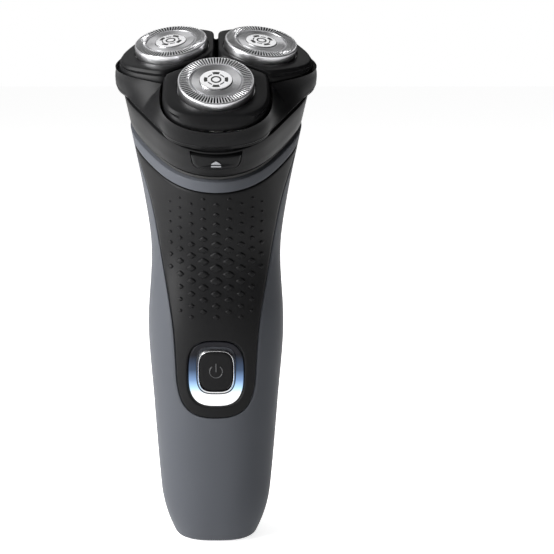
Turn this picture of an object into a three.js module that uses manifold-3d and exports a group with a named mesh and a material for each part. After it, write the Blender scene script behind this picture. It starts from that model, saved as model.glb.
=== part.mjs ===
// Rotary electric shaver with three floating cutters, in millimetres, +Z up, front towards -Y.
// The handle stands on its flat base at z = 0. Everything above the collar is modelled in the head
// frame: its origin is the middle of the shaving plane, +Z points out of the shaving plane.
import * as THREE from "three";
import { mergeVertices } from "three/addons/utils/BufferGeometryUtils.js";
import Module from "manifold-3d";

const wasm = await Module();
wasm.setup();

// ---------------------------------------------------------------- driving dimensions
const RAD = Math.PI / 180;
const GAP = 0.3; // space kept between pieces that touch

// how finely round forms are faceted
const HANDLE_SIDES = 32;
const HANDLE_LEVELS = 11;
const HEAD_SIDES = 42;
const ROUND_SIDES = 24;
const SMALL_SIDES = 12;
const PLATE_SIDES = 24;
const CUTTER_SIDES = 18;

// head frame in the world
const HEAD_TILT = 28.4 * RAD; // forward lean of the shaving plane
const HEAD_Y = -13.5;
const HEAD_Z = 151.8;
const LOBE_COUNT = 3;
const LOBES = [0, 1, 2]; // front, right, left
const LOBE_RADIUS = 15.4; // from the head's axis to a lobe's axis, on the shaving plane
const LOBE_LEAN = 7.7 * RAD; // outward lean of each lobe

// guards and cutters, in a lobe's own frame
const GUARD_R = 10.75;
const GUARD_SKIRT = 3.6;
const DISC_R = 4.6;
const CUTTER_R = 9.2;
const JOINT_DEPTH = 4.6; // depth of the point where the spindle drives the cutter

// heights along the head's axis, measured from the shaving plane
const RIM_H = -12;
const FRAME_BOTTOM_H = -13;
const CHAMBER_TOP_H = -13.6;
const FLOOR_TOP_H = -21.6;
const FLOOR_BOTTOM_H = -22.9;
const CHAMBER_BOTTOM_H = -24.6;
const GEAR_TOP_H = -23.5;
const GEAR_BOTTOM_H = -25.5;
const COLLAR_H = -26;
const PLATE_TOP_H = -26.7;
const PLATE_BOTTOM_H = -28.1;
const MOTOR_TOP_H = -28.6;
const MOTOR_BOTTOM_H = -45.6;
const MOTOR_R = 9;

// handle
const WALL = 2.8;
const FLOOR_THICKNESS = 3.2;
const PANEL_THICKNESS = 1.3;
const BAND_HEIGHT = 3.5; // the shell's band above the grip panel
const SEAM_Y = 3; // the two shells meet here
const BASE_TAPER_HEIGHT = 16; // the handle narrows below this height
const BASE_TAPER_INSET = 3.3;
const BASE_EDGE_RADIUS = 1.2;
const PANEL_BOTTOM_Z = 43.5;
const PANEL_SIDE = [[11.9, 56], [12.9, 72], [15.9, 90], [19.6, 109.5], [25.5, 126]]; // half width, z
const BOARD_Y = -9.6; // circuit board's front face
const CELL_Y = 4.6; // battery's axis
const SOCKET_Y = 6.9; // charging socket's middle
const SOCKET_W = 10.4;
const SOCKET_D = 6.4;
const SOCKET_PIN_X = 1.6;

// power button
const BUTTON_Z = 58.2;
const BUTTON_W = 11.9;
const BUTTON_H = 14;
const RING_W = 17.1;
const RING_H = 20.4;
const RING_Z = 57.4;
const BEZEL_W = 0.9; // width of the bevelled rim round the button's face
const SKIRT_TOP = 2.2; // depths of the button's skirt below the handle's surface
const SKIRT_BOTTOM = 3.6;

// gears
const PINION_TEETH = 13;
const GEAR_TEETH = 19;
const SCREW_RADIUS = 14; // from the head's axis to a screw of the gear plate
const SPINDLE_RADIUS = LOBE_RADIUS - JOINT_DEPTH * Math.sin(LOBE_LEAN);
const GEAR_MODULE = (2 * SPINDLE_RADIUS) / (PINION_TEETH + GEAR_TEETH);

// ---------------------------------------------------------------- colours
const GREY_SHELL = { color: 0x5f6268, roughness: 0.42, metalness: 0.05 };
const BLACK_SATIN = { color: 0x1b1c1e, roughness: 0.45, metalness: 0 };
const BLACK_GRIP = { color: 0x121314, roughness: 0.6, metalness: 0 };
const BLACK_RUBBER = { color: 0x0c0c0d, roughness: 0.8, metalness: 0 };
const LIGHT_DIFFUSER = { color: 0xe8f4ff, roughness: 0.3, metalness: 0 };
const STEEL = { color: 0xb8babd, roughness: 0.25, metalness: 1 };
const SILVER_TRIM = { color: 0xd9dadc, roughness: 0.2, metalness: 0.9 };
const BRASS = { color: 0xc9a24a, roughness: 0.3, metalness: 1 };
const BOARD_GREEN = { color: 0x1d5a35, roughness: 0.5, metalness: 0 };
const CELL_WRAP = { color: 0x2f7d4f, roughness: 0.35, metalness: 0 };
const WHITE_PLASTIC = { color: 0xdedede, roughness: 0.4, metalness: 0 };
const CHASSIS_PLASTIC = { color: 0x3c3f44, roughness: 0.5, metalness: 0 };

// ---------------------------------------------------------------- solids
function toSolid(geometry) {
  const plain = geometry.clone();
  plain.deleteAttribute("normal");
  plain.deleteAttribute("uv");
  const merged = mergeVertices(plain, 1e-4);
  const triangles = [];
  for (let i = 0; i < merged.index.count; i += 3) {
    const [a, b, c] = [0, 1, 2].map((k) => merged.index.getX(i + k));
    if (a !== b && b !== c && c !== a) triangles.push(a, b, c);
  }
  return new wasm.Manifold(
    new wasm.Mesh({
      numProp: 3,
      vertProperties: new Float32Array(merged.attributes.position.array),
      triVerts: new Uint32Array(triangles),
    }),
  );
}

function toGeometry(solid) {
  const mesh = solid.getMesh();
  const geometry = new THREE.BufferGeometry();
  geometry.setAttribute("position", new THREE.BufferAttribute(mesh.vertProperties, 3));
  geometry.setIndex(new THREE.BufferAttribute(mesh.triVerts, 1));
  geometry.computeVertexNormals();
  return geometry;
}

function cut(solid, ...tools) {
  return tools.reduce((result, tool) => result.subtract(tool), solid);
}

function join(...solids) {
  return solids.reduce((result, piece) => result.add(piece));
}

function box(width, depth, height, x, y, z) {
  return toSolid(new THREE.BoxGeometry(width, depth, height).translate(x, y, z));
}

// A cylinder along Z between two heights.
function rod(radius, low, high, sides = SMALL_SIDES) {
  const geometry = new THREE.CylinderGeometry(radius, radius, high - low, sides);
  return toSolid(geometry.rotateX(Math.PI / 2).translate(0, 0, (low + high) / 2));
}

function lathe(profile, sides) {
  const points = profile.map(([radius, height]) => new THREE.Vector2(radius, height));
  return toSolid(new THREE.LatheGeometry(points, sides).rotateX(Math.PI / 2));
}

// A solid through rings with the same number of points. A closed loop of rings makes a hoop.
function loft(rings, isLoop = false) {
  const count = rings[0].length;
  const positions = rings.flat().flatMap((point) => [point.x, point.y, point.z]);
  const faces = [];
  const steps = isLoop ? rings.length : rings.length - 1;
  for (let level = 0; level < steps; level += 1) {
    const low = level * count;
    const high = ((level + 1) % rings.length) * count;
    for (let i = 0; i < count; i += 1) {
      const next = (i + 1) % count;
      faces.push(low + i, low + next, high + next, low + i, high + next, high + i);
    }
  }
  if (!isLoop) {
    for (const [level, turned] of [[0, true], [rings.length - 1, false]]) {
      const middle = rings[level].reduce((sum, point) => sum.add(point), new THREE.Vector3());
      middle.divideScalar(count);
      const hub = positions.length / 3;
      positions.push(middle.x, middle.y, middle.z);
      for (let i = 0; i < count; i += 1) {
        const next = (i + 1) % count;
        const edge = turned ? [next, i] : [i, next];
        faces.push(hub, level * count + edge[0], level * count + edge[1]);
      }
    }
  }
  const geometry = new THREE.BufferGeometry();
  geometry.setAttribute("position", new THREE.Float32BufferAttribute(positions, 3));
  geometry.setIndex(faces);
  return toSolid(geometry);
}

// ---------------------------------------------------------------- outlines
function superellipse(angle, halfWidth, halfDepth, power) {
  const across = Math.abs(Math.cos(angle)) / halfWidth;
  const along = Math.abs(Math.sin(angle)) / halfDepth;
  return 1 / (across ** power + along ** power) ** (1 / power);
}

// The head's rounded triangle, with a corner towards the front.
function triangleRadius(angle, mean, swell) {
  return mean + swell * Math.sin(3 * angle);
}

function headRing(radiusAt, heightAt, count) {
  const ring = [];
  for (let i = 0; i < count; i += 1) {
    const angle = (2 * Math.PI * i) / count;
    const radius = radiusAt(angle);
    ring.push(new THREE.Vector3(radius * Math.cos(angle), radius * Math.sin(angle), heightAt(angle)));
  }
  return ring;
}

function triangleRing(mean, swell, height) {
  return headRing((angle) => triangleRadius(angle, mean, swell), () => height, HEAD_SIDES);
}

// ---------------------------------------------------------------- handle
// Handle stations: height of the section's middle, half width, depth to the front, depth to the
// back, and swell of the head's rounded triangle.
const STATIONS = [
  [0, 16.0, 13.6, 13.6, 0],
  [22, 18.0, 15.8, 15.6, 0],
  [45, 19.6, 18.2, 18.0, 0],
  [69, 21.1, 19.6, 19.6, 0],
  [93, 19.9, 18.4, 20.4, 0],
  [110, 22.0, 21.7, 22.2, 1.0],
  [128.9, 25.55, 25.55, 25.55, 2.2],
];
const COLLAR_Z = STATIONS.at(-1)[0];
const COLLAR_Y = HEAD_Y - COLLAR_H * Math.sin(HEAD_TILT);
const TILT_START_Z = 80; // sections are level below this height

function stationSlope(index, column) {
  const before = STATIONS[Math.max(index - 1, 0)];
  const after = STATIONS[Math.min(index + 1, STATIONS.length - 1)];
  return (after[column] - before[column]) / (after[0] - before[0]);
}

// One measure of the handle at a height, on a smooth curve through the stations.
function measureAt(height, column) {
  let index = 0;
  while (index < STATIONS.length - 2 && height > STATIONS[index + 1][0]) index += 1;
  const [low, high] = [STATIONS[index], STATIONS[index + 1]];
  const span = high[0] - low[0];
  const t = (height - low[0]) / span;
  const slopeLow = stationSlope(index, column) * span;
  const slopeHigh = stationSlope(index + 1, column) * span;
  const bend = (1 + 2 * t) * (1 - t) ** 2 * low[column] + t * t * (3 - 2 * t) * high[column];
  return bend + t * (1 - t) ** 2 * slopeLow - t * t * (1 - t) * slopeHigh;
}

function baseInset(height) {
  const taper = Math.max(1 - height / BASE_TAPER_HEIGHT, 0);
  const edge = Math.max(1 - height / BASE_EDGE_RADIUS, 0);
  return BASE_TAPER_INSET * taper * taper + BASE_EDGE_RADIUS * (1 - Math.sqrt(1 - edge * edge));
}

function handleTilt(height) {
  const t = THREE.MathUtils.clamp((height - TILT_START_Z) / (COLLAR_Z - TILT_START_Z), 0, 1);
  return HEAD_TILT * t * t * (3 - 2 * t);
}

// One section of the handle, inset from the outer surface.
function handleRing(height, inset, lift = 0) {
  const tilt = handleTilt(height);
  const lean = (COLLAR_Y * tilt) / HEAD_TILT;
  const power = THREE.MathUtils.lerp(2.35, 2, tilt / HEAD_TILT);
  const ring = [];
  for (let i = 0; i < HANDLE_SIDES; i += 1) {
    const angle = (2 * Math.PI * i) / HANDLE_SIDES;
    const depth = measureAt(height, Math.sin(angle) < 0 ? 2 : 3);
    const plain = superellipse(angle, measureAt(height, 1), depth, power);
    const radius = plain + measureAt(height, 4) * Math.sin(3 * angle) - baseInset(height) - inset;
    const point = new THREE.Vector3(radius * Math.cos(angle), radius * Math.sin(angle), lift);
    point.applyAxisAngle(new THREE.Vector3(1, 0, 0), tilt);
    ring.push(point.add(new THREE.Vector3(0, lean, height)));
  }
  return ring;
}

function handleHeights(low) {
  const base = [0, 0.4, BASE_EDGE_RADIUS, 4.5, 9.5, BASE_TAPER_HEIGHT].filter((height) => height >= low);
  const rest = [];
  for (let step = 1; step <= HANDLE_LEVELS; step += 1) {
    rest.push(BASE_TAPER_HEIGHT + ((COLLAR_Z - BASE_TAPER_HEIGHT) * step) / HANDLE_LEVELS);
  }
  return [...(low > 0 && !base.includes(low) ? [low] : []), ...base, ...rest];
}

// The handle's outer form, shrunk by an inset; a lift takes its top past the collar.
function handleForm(inset, low = 0, lift = 0) {
  const rings = handleHeights(low).map((height) => handleRing(height, inset));
  if (lift > 0) rings.push(handleRing(COLLAR_Z, inset, lift));
  return loft(rings);
}

// The grip panel's outline in the front view: a rounded lower end, sides that widen upwards, and an
// open top that the plane under the band cuts off.
function panelOutline(grow) {
  const [low, shoulder] = [PANEL_BOTTOM_Z - grow, PANEL_SIDE[0][1]];
  const side = PANEL_SIDE.map(([x, z]) => new THREE.Vector2(x + grow, z));
  const otherSide = side.map((point) => new THREE.Vector2(-point.x, point.y)).reverse();
  const shape = new THREE.Shape();
  shape.moveTo(0, low);
  shape.bezierCurveTo(7.5, low, side[0].x - 0.6, PANEL_BOTTOM_Z + 2, side[0].x, shoulder);
  shape.splineThru(side.slice(1));
  shape.lineTo(40, 150);
  shape.lineTo(-40, 150);
  shape.lineTo(otherSide[0].x, otherSide[0].y);
  shape.splineThru(otherSide.slice(1));
  shape.bezierCurveTo(0.6 - side[0].x, PANEL_BOTTOM_Z + 2, -7.5, low, 0, low);
  return shape;
}

// A prism of a front-view outline, from one Y to another.
function frontPrism(shape, nearY, farY, curveSegments = 4) {
  const geometry = new THREE.ExtrudeGeometry(shape, {
    depth: farY - nearY,
    bevelEnabled: false,
    curveSegments,
  });
  return toSolid(geometry.rotateX(Math.PI / 2).translate(0, farY, 0));
}

// Everything below the plane at a height in the head frame.
function belowHeadPlane(height) {
  const slab = new THREE.BoxGeometry(120, 160, 160).translate(0, 0, height - 80);
  return toSolid(slab.rotateX(HEAD_TILT).translate(0, HEAD_Y, HEAD_Z));
}

function roundedPlate(width, height, power, grow = 0) {
  const shape = new THREE.Shape();
  for (let i = 0; i < PLATE_SIDES; i += 1) {
    const angle = (2 * Math.PI * i) / PLATE_SIDES;
    const radius = superellipse(angle, width / 2 + grow, height / 2 + grow, power);
    const point = [radius * Math.cos(angle), radius * Math.sin(angle)];
    if (i === 0) shape.moveTo(...point);
    else shape.lineTo(...point);
  }
  shape.closePath();
  return shape;
}

// A prism of a plate's outline, deep enough to pass through the handle's front wall.
function platePrism(shape, centreZ) {
  return frontPrism(shape, -40, -5).translate(0, 0, centreZ);
}

// An upright prism of the charging socket's outline, between two heights.
function socketPrism(width, depth, low, high) {
  const shape = roundedPlate(width, depth, 2.4);
  const geometry = new THREE.ExtrudeGeometry(shape, { depth: high - low, bevelEnabled: false });
  return toSolid(geometry.translate(0, SOCKET_Y, low));
}

// A layer of the handle between two insets. Its inner form starts above the floor and passes the
// collar, so that the layer is open at the top.
function handleLayer(outerInset, innerInset) {
  return cut(handleForm(outerInset), handleForm(innerInset, FLOOR_THICKNESS, 4));
}

function ringPrism(grow) {
  return platePrism(roundedPlate(RING_W, RING_H, 3, grow), RING_Z);
}

function buttonPrism(grow) {
  return platePrism(roundedPlate(BUTTON_W, BUTTON_H, 3.4, grow), BUTTON_Z);
}

function panelPrism(grow) {
  return frontPrism(panelOutline(grow), -60, -2).intersect(belowHeadPlane(COLLAR_H - BAND_HEIGHT + grow));
}

function wholeShell() {
  const recess = cut(panelPrism(GAP), handleForm(PANEL_THICKNESS + GAP, FLOOR_THICKNESS, 4));
  const socketHole = socketPrism(SOCKET_W + 2 * GAP, SOCKET_D + 2 * GAP, -2, 8);
  return cut(handleLayer(0, WALL), recess, ringPrism(GAP), socketHole);
}

const SHELL = wholeShell();
const FRONT_SPACE = box(120, 100, 400, 0, SEAM_Y - GAP / 2 - 50, 0);
const REAR_SPACE = box(120, 100, 400, 0, SEAM_Y + GAP / 2 + 50, 0);

function gripPanel() {
  return cut(handleLayer(0, PANEL_THICKNESS).intersect(panelPrism(0)), ringPrism(GAP));
}

// The light ring fills the opening of the panel and leaves the button's well free.
function lightRing() {
  return cut(handleLayer(0.5, 4.2).intersect(ringPrism(0)), buttonPrism(2 * GAP));
}

// The cap that is pressed, with the skirt that the bezel sits on and a stem that meets the switch.
function powerButton() {
  const cap = handleLayer(0.3, SKIRT_BOTTOM).intersect(buttonPrism(-BEZEL_W));
  const skirt = handleLayer(SKIRT_TOP, SKIRT_BOTTOM).intersect(buttonPrism(0));
  const stem = new THREE.CylinderGeometry(1.6, 1.6, 3, 20).translate(0, -14.6, BUTTON_Z);
  return join(cap, skirt, toSolid(stem));
}

function buttonBezel() {
  return cut(handleLayer(0.1, SKIRT_TOP - GAP).intersect(buttonPrism(0)), buttonPrism(GAP - BEZEL_W));
}

// ---------------------------------------------------------------- inside the handle
const CELL_LOW_Z = 17;
const CELL_HIGH_Z = 68;
const CELL_R = 7.2;
const TAB = 0.6; // thickness of a battery contact
const SOCKET_WELL_Z = 9; // top of the space that the plug fills

function innerChassis() {
  const plate = box(23, 1.4, 80, 0, BOARD_Y + 3.2, 54);
  const lowRib = box(20, 5, 1.6, 0, BOARD_Y + 6.2, CELL_LOW_Z - 3.8);
  const highRib = box(20, 5, 1.6, 0, BOARD_Y + 6.2, CELL_HIGH_Z + 4.8);
  const motorShelf = box(16, 9, 1.6, 0, BOARD_Y + 8.2, 93.2);
  return join(plate, lowRib, highRib, motorShelf);
}

function batteryCell() {
  const [low, high] = [CELL_LOW_Z, CELL_HIGH_Z - 1.2];
  const profile = [
    [0, low], [CELL_R - 0.2, low], [CELL_R, low + 0.4], [CELL_R, high - 0.4], [CELL_R - 0.2, high],
    [2.8, high], [2.8, CELL_HIGH_Z], [0, CELL_HIGH_Z],
  ];
  return lathe(profile, ROUND_SIDES).translate(0, CELL_Y, 0);
}

function batteryTab(middle) {
  return box(6, 6, TAB, 0, CELL_Y, middle);
}

function chargingSocket() {
  const body = socketPrism(SOCKET_W, SOCKET_D, 0.6, SOCKET_WELL_Z + 3);
  const well = socketPrism(SOCKET_W - 2, SOCKET_D - 1.8, -1, SOCKET_WELL_Z);
  const pinHoles = [-SOCKET_PIN_X, SOCKET_PIN_X].map((x) => rod(0.9, 5, 20).translate(x, SOCKET_Y, 0));
  return cut(body, well, ...pinHoles);
}

function socketPin(x) {
  return rod(0.55, 5, SOCKET_WELL_Z + 4).translate(x, SOCKET_Y, 0);
}

// ---------------------------------------------------------------- drive, in the head frame
function gearOutline(teeth, bore) {
  const shape = new THREE.Shape();
  const pitchRadius = (GEAR_MODULE * teeth) / 2;
  const tip = pitchRadius + 0.85 * GEAR_MODULE;
  const root = pitchRadius - 1.1 * GEAR_MODULE;
  const step = (2 * Math.PI) / teeth;
  for (let tooth = 0; tooth < teeth; tooth += 1) {
    const middle = tooth * step;
    const corners = [[root, -0.26], [tip, -0.1], [tip, 0.1], [root, 0.26]];
    corners.forEach(([radius, part], index) => {
      const angle = middle + part * step;
      const point = [radius * Math.cos(angle), radius * Math.sin(angle)];
      if (tooth === 0 && index === 0) shape.moveTo(...point);
      else shape.lineTo(...point);
    });
  }
  shape.closePath();
  shape.holes.push(new THREE.Path().absarc(0, 0, bore, 0, 2 * Math.PI, true));
  return shape;
}

function gear(teeth, bore, low, high) {
  const options = { depth: high - low, bevelEnabled: false, curveSegments: 6 };
  return toSolid(new THREE.ExtrudeGeometry(gearOutline(teeth, bore), options).translate(0, 0, low));
}

function lobeAngle(index) {
  return (-90 + (360 / LOBE_COUNT) * index) * RAD;
}

// Turn that puts a gap of the gear opposite the pinion's tooth.
function gearTurn(index) {
  const direction = lobeAngle(index);
  const pinionPhase = (direction * PINION_TEETH) / (2 * Math.PI);
  return direction + Math.PI - ((0.5 - pinionPhase) * 2 * Math.PI) / GEAR_TEETH;
}

// Moves a solid from the head's axis to a spindle's axis.
function onSpindle(solid, index) {
  const angle = lobeAngle(index);
  return solid.translate(SPINDLE_RADIUS * Math.cos(angle), SPINDLE_RADIUS * Math.sin(angle), 0);
}

function driveGear(index) {
  const wheel = gear(GEAR_TEETH, 0.9, GEAR_BOTTOM_H, GEAR_TOP_H);
  return onSpindle(wheel.rotate([0, 0, gearTurn(index) / RAD]), index);
}

function gearAxle(index) {
  return onSpindle(rod(0.8, PLATE_TOP_H + GAP, -17), index);
}

// Hollow drive shaft with a ball tip that fits the cutter's hub.
function driveSpindle(index) {
  const tip = -JOINT_DEPTH;
  const [shaftR, boreR, boreTop] = [2.1, 1.2, tip - 5.8];
  const profile = [
    [0, boreTop], [boreR, boreTop], [boreR, GEAR_TOP_H + GAP], [shaftR, GEAR_TOP_H + GAP],
    [shaftR, tip - 5.4], [1.5, tip - 4], [1.1, tip - 1.2], [1.6, tip], [1.1, tip + 0.8], [0, tip + 0.9],
  ];
  return onSpindle(lathe(profile, SMALL_SIDES), index);
}

function spindleSpring(index) {
  return onSpindle(rod(0.9, -16.6, -11), index);
}

function spindleSeal(index) {
  const [holeR, plugR, lipR] = [2.4, 2.9, 3.7];
  const profile = [
    [holeR, FLOOR_TOP_H + 0.6], [holeR, FLOOR_BOTTOM_H], [plugR, FLOOR_BOTTOM_H], [plugR, FLOOR_TOP_H + GAP],
    [lipR, FLOOR_TOP_H + GAP], [lipR - 0.3, FLOOR_TOP_H + 0.9], [holeR, FLOOR_TOP_H + 0.6],
  ];
  return onSpindle(lathe(profile, SMALL_SIDES), index);
}

// Moves a solid from the head's axis to a screw of the gear plate, between two gears.
function onScrew(solid, side) {
  const angle = -Math.PI / 2 + (side * Math.PI) / LOBE_COUNT;
  return solid.translate(SCREW_RADIUS * Math.cos(angle), SCREW_RADIUS * Math.sin(angle), 0);
}

function gearPlate() {
  const rings = [PLATE_BOTTOM_H, PLATE_TOP_H].map((height) => triangleRing(19.8, 1.9, height));
  const screwHoles = [-1, 1].map((side) => onScrew(rod(1.2, -40, -20), side));
  return cut(loft(rings), rod(2.6, -40, -20), ...screwHoles);
}

function plateScrew(side) {
  const shaft = rod(0.9, PLATE_BOTTOM_H - 5, PLATE_TOP_H + 1);
  return onScrew(join(shaft, rod(1.8, PLATE_TOP_H + GAP, PLATE_TOP_H + 1.5)), side);
}

// A drum with an open bore for the rotor.
function motorCan() {
  const [boreR, roomR, edge, end] = [1.6, MOTOR_R - 1, 0.6, 1];
  const profile = [
    [boreR, MOTOR_TOP_H], [boreR, MOTOR_TOP_H - end], [roomR, MOTOR_TOP_H - end],
    [roomR, MOTOR_BOTTOM_H + end], [boreR, MOTOR_BOTTOM_H + end], [boreR, MOTOR_BOTTOM_H],
    [MOTOR_R - edge, MOTOR_BOTTOM_H], [MOTOR_R, MOTOR_BOTTOM_H + edge],
    [MOTOR_R, MOTOR_TOP_H - edge], [MOTOR_R - edge, MOTOR_TOP_H], [boreR, MOTOR_TOP_H],
  ];
  return lathe(profile, ROUND_SIDES);
}

function motorRotor() {
  const core = rod(MOTOR_R - 1.8, MOTOR_BOTTOM_H + 2, MOTOR_TOP_H - 2, ROUND_SIDES);
  return join(core, rod(1, MOTOR_BOTTOM_H - 1, GEAR_TOP_H));
}

// ---------------------------------------------------------------- hair chamber, in the head frame
const CHAMBER_TOP_MEAN = 26.9;
const CHAMBER_TOP_SWELL = 3.1;
const CHAMBER_BOTTOM_MEAN = 25.4;
const CHAMBER_BOTTOM_SWELL = 2.2;
const CHAMBER_WALL = 1.7;
const RELEASE_W = 14.2;
const RELEASE_LOW_H = -20.9;
const RELEASE_HIGH_H = -16.1;
const RELEASE_H = (RELEASE_LOW_H + RELEASE_HIGH_H) / 2;
const HINGE_V = 25.9;
const HINGE_H = -13.2;
const HINGE_KNUCKLE_R = 1.5;
const HINGE_PIN_R = 0.72;
const HINGE_EAR_X = 6.8;

function chamberForm(inset, low, high) {
  const rings = [low, high].map((height) => {
    const t = (height - CHAMBER_BOTTOM_H) / (CHAMBER_TOP_H - CHAMBER_BOTTOM_H);
    const mean = THREE.MathUtils.lerp(CHAMBER_BOTTOM_MEAN, CHAMBER_TOP_MEAN, t);
    const swell = THREE.MathUtils.lerp(CHAMBER_BOTTOM_SWELL, CHAMBER_TOP_SWELL, t);
    return triangleRing(mean - inset, swell, height);
  });
  return loft(rings);
}

function alongX(radius, from, to) {
  const geometry = new THREE.CylinderGeometry(radius, radius, to - from, SMALL_SIDES);
  return toSolid(geometry.rotateZ(Math.PI / 2).translate((from + to) / 2, HINGE_V, HINGE_H));
}

// One ear of the hinge at the back of the chamber.
function hingeEar(side) {
  const [near, far] = [5.3, 8.3].map((x) => side * x);
  const knuckle = alongX(HINGE_KNUCKLE_R, Math.min(near, far), Math.max(near, far));
  return join(knuckle, box(3, 3.2, 3.2, side * HINGE_EAR_X, HINGE_V - 1.1, HINGE_H - 1.8));
}

function hairChamber() {
  const cup = chamberForm(CHAMBER_WALL, FLOOR_TOP_H, CHAMBER_TOP_H + 2);
  const gearRoom = chamberForm(CHAMBER_WALL, CHAMBER_BOTTOM_H - 2, FLOOR_BOTTOM_H);
  const spindleHoles = LOBES.map((index) => onSpindle(rod(3.2, -30, -20), index));
  const buttonHeight = RELEASE_HIGH_H - RELEASE_LOW_H + 2 * GAP;
  const buttonHole = box(RELEASE_W + 2 * GAP, 8, buttonHeight, 0, -28, RELEASE_H);
  const springPost = box(5, 1.6, 5, 0, -19.6, FLOOR_TOP_H + 2.2);
  const wall = cut(chamberForm(0, CHAMBER_BOTTOM_H, CHAMBER_TOP_H), cup, gearRoom);
  const body = join(cut(wall, ...spindleHoles, buttonHole), springPost, hingeEar(-1), hingeEar(1));
  return cut(body, alongX(HINGE_PIN_R + 0.13, -12, 12));
}

function hingePin() {
  return alongX(HINGE_PIN_R, -8.2, 8.2);
}

function chamberGasket() {
  const [high, low] = [CHAMBER_BOTTOM_H - GAP, COLLAR_H + GAP];
  const ring = (inset, height) => triangleRing(CHAMBER_BOTTOM_MEAN - inset, CHAMBER_BOTTOM_SWELL, height);
  return loft([ring(0.9, low), ring(0.9, high), ring(2.1, high), ring(2.1, low)], true);
}

// A trapezoid with rounded lower corners, a little proud of the chamber's wall.
function releaseButton() {
  const half = RELEASE_W / 2;
  const shape = new THREE.Shape();
  shape.moveTo(-half, RELEASE_HIGH_H);
  shape.lineTo(-half + 0.5, RELEASE_LOW_H + 1.8);
  shape.quadraticCurveTo(-half + 0.9, RELEASE_LOW_H, -half + 2.6, RELEASE_LOW_H);
  shape.lineTo(half - 2.6, RELEASE_LOW_H);
  shape.quadraticCurveTo(half - 0.9, RELEASE_LOW_H, half - 0.5, RELEASE_LOW_H + 1.8);
  shape.lineTo(half, RELEASE_HIGH_H);
  shape.closePath();
  const plate = frontPrism(shape, -31, -25).intersect(chamberForm(-0.35, -23, -14));
  const pocket = new THREE.CylinderGeometry(1.5, 1.5, 2.4, SMALL_SIDES).translate(0, -24.9, RELEASE_H);
  return cut(plate, toSolid(pocket));
}

// The coil at rest: its free end stays further from the pocket's end than the button travels.
function releaseSpring() {
  const length = 4.1;
  const coil = new THREE.CylinderGeometry(1.1, 1.1, length, SMALL_SIDES);
  return toSolid(coil.translate(0, -20.7 - length / 2, RELEASE_H));
}

// ---------------------------------------------------------------- shaving head, in the head frame
const LOBE_BASE = [15.2, 14.8]; // half width and half depth
const LOBE_DECK = [14.5, 12.9];
const LOBE_POWER = 2.7;
const LOBE_BOTTOM = -6;
const LOBE_DECK_TOP = -2.3;
const LOBE_GAP = 0.5; // half the groove between two lobes
const FRAME_GAP = 0.7;
const FRAME_SIDES = 54;

function lobeMatrix(index) {
  const angle = lobeAngle(index);
  const turn = new THREE.Matrix4().makeRotationZ(angle - Math.PI / 2);
  const lean = new THREE.Matrix4().makeRotationX(-LOBE_LEAN);
  const [x, y] = [LOBE_RADIUS * Math.cos(angle), LOBE_RADIUS * Math.sin(angle)];
  return new THREE.Matrix4().makeTranslation(x, y, 0).multiply(turn).multiply(lean);
}

function onLobe(solid, index) {
  return toSolid(toGeometry(solid).applyMatrix4(lobeMatrix(index)));
}

function lobeRing([halfWidth, halfDepth], inset, height) {
  const radiusAt = (angle) => superellipse(angle, halfWidth - inset, halfDepth - inset, LOBE_POWER);
  return headRing(radiusAt, () => height, ROUND_SIDES);
}

// A wedge of the head, a third of a turn less the groove.
function lobeSector(index) {
  const reach = 60;
  const half = 60 * RAD;
  const tipY = LOBE_GAP / Math.sin(half);
  const shape = new THREE.Shape();
  shape.moveTo(0, tipY);
  shape.lineTo(reach * Math.sin(half), tipY + reach * Math.cos(half));
  shape.lineTo(reach * Math.sin(half), reach * 2);
  shape.lineTo(-reach * Math.sin(half), reach * 2);
  shape.lineTo(-reach * Math.sin(half), tipY + reach * Math.cos(half));
  shape.closePath();
  const wedge = new THREE.ExtrudeGeometry(shape, { depth: 40, bevelEnabled: false });
  return toSolid(wedge.translate(0, 0, -30)).rotate([0, 0, lobeAngle(index) / RAD - 90]);
}

// A lobe with a stepped opening: the upper step holds the guard's flange in.
function lobe(index) {
  const outside = loft([
    lobeRing(LOBE_BASE, 0, LOBE_BOTTOM),
    lobeRing(LOBE_BASE, 0.3, LOBE_BOTTOM + 1.4),
    lobeRing(LOBE_DECK, -0.4, LOBE_DECK_TOP - 0.8),
    lobeRing(LOBE_DECK, 0, LOBE_DECK_TOP - 0.3),
    lobeRing(LOBE_DECK, 0.5, LOBE_DECK_TOP),
  ]);
  const neck = rod(GUARD_R + 0.35, -3, 2, ROUND_SIDES);
  const opening = join(neck, rod(GUARD_R + 0.95, -12, -2.9, ROUND_SIDES));
  return onLobe(cut(outside, opening), index).intersect(lobeSector(index));
}

function guard(index) {
  const profile = [
    [0, -1.1], [GUARD_R - 0.85, -1.1], [GUARD_R - 0.85, -GUARD_SKIRT],
    [GUARD_R + 0.6, -GUARD_SKIRT], [GUARD_R + 0.6, -GUARD_SKIRT + 0.4], [GUARD_R, -GUARD_SKIRT + 0.4],
    [GUARD_R, -0.45], [GUARD_R - 0.35, 0], [DISC_R + 0.3, 0], [DISC_R + 0.3, -0.6], [0, -0.6],
  ];
  return onLobe(lathe(profile, ROUND_SIDES), index);
}

function guardDisc(index) {
  const profile = [[0, -0.3], [DISC_R, -0.3], [DISC_R, 0.1], [DISC_R - 0.3, 0.25], [0, 0.25]];
  return onLobe(lathe(profile, ROUND_SIDES), index);
}

function cutter(index) {
  const hub = [
    [0, -2.7], [2, -2.9], [3.3, -5.4], [4, -5.4], [3.6, -3.3], [CUTTER_R - 1.6, -3.3], [CUTTER_R, -2.4],
    [CUTTER_R, -1.4], [CUTTER_R - 1.6, -1.4], [CUTTER_R - 1.6, -2.1], [0, -2.1],
  ];
  return onLobe(lathe(hub, CUTTER_SIDES), index);
}

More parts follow.
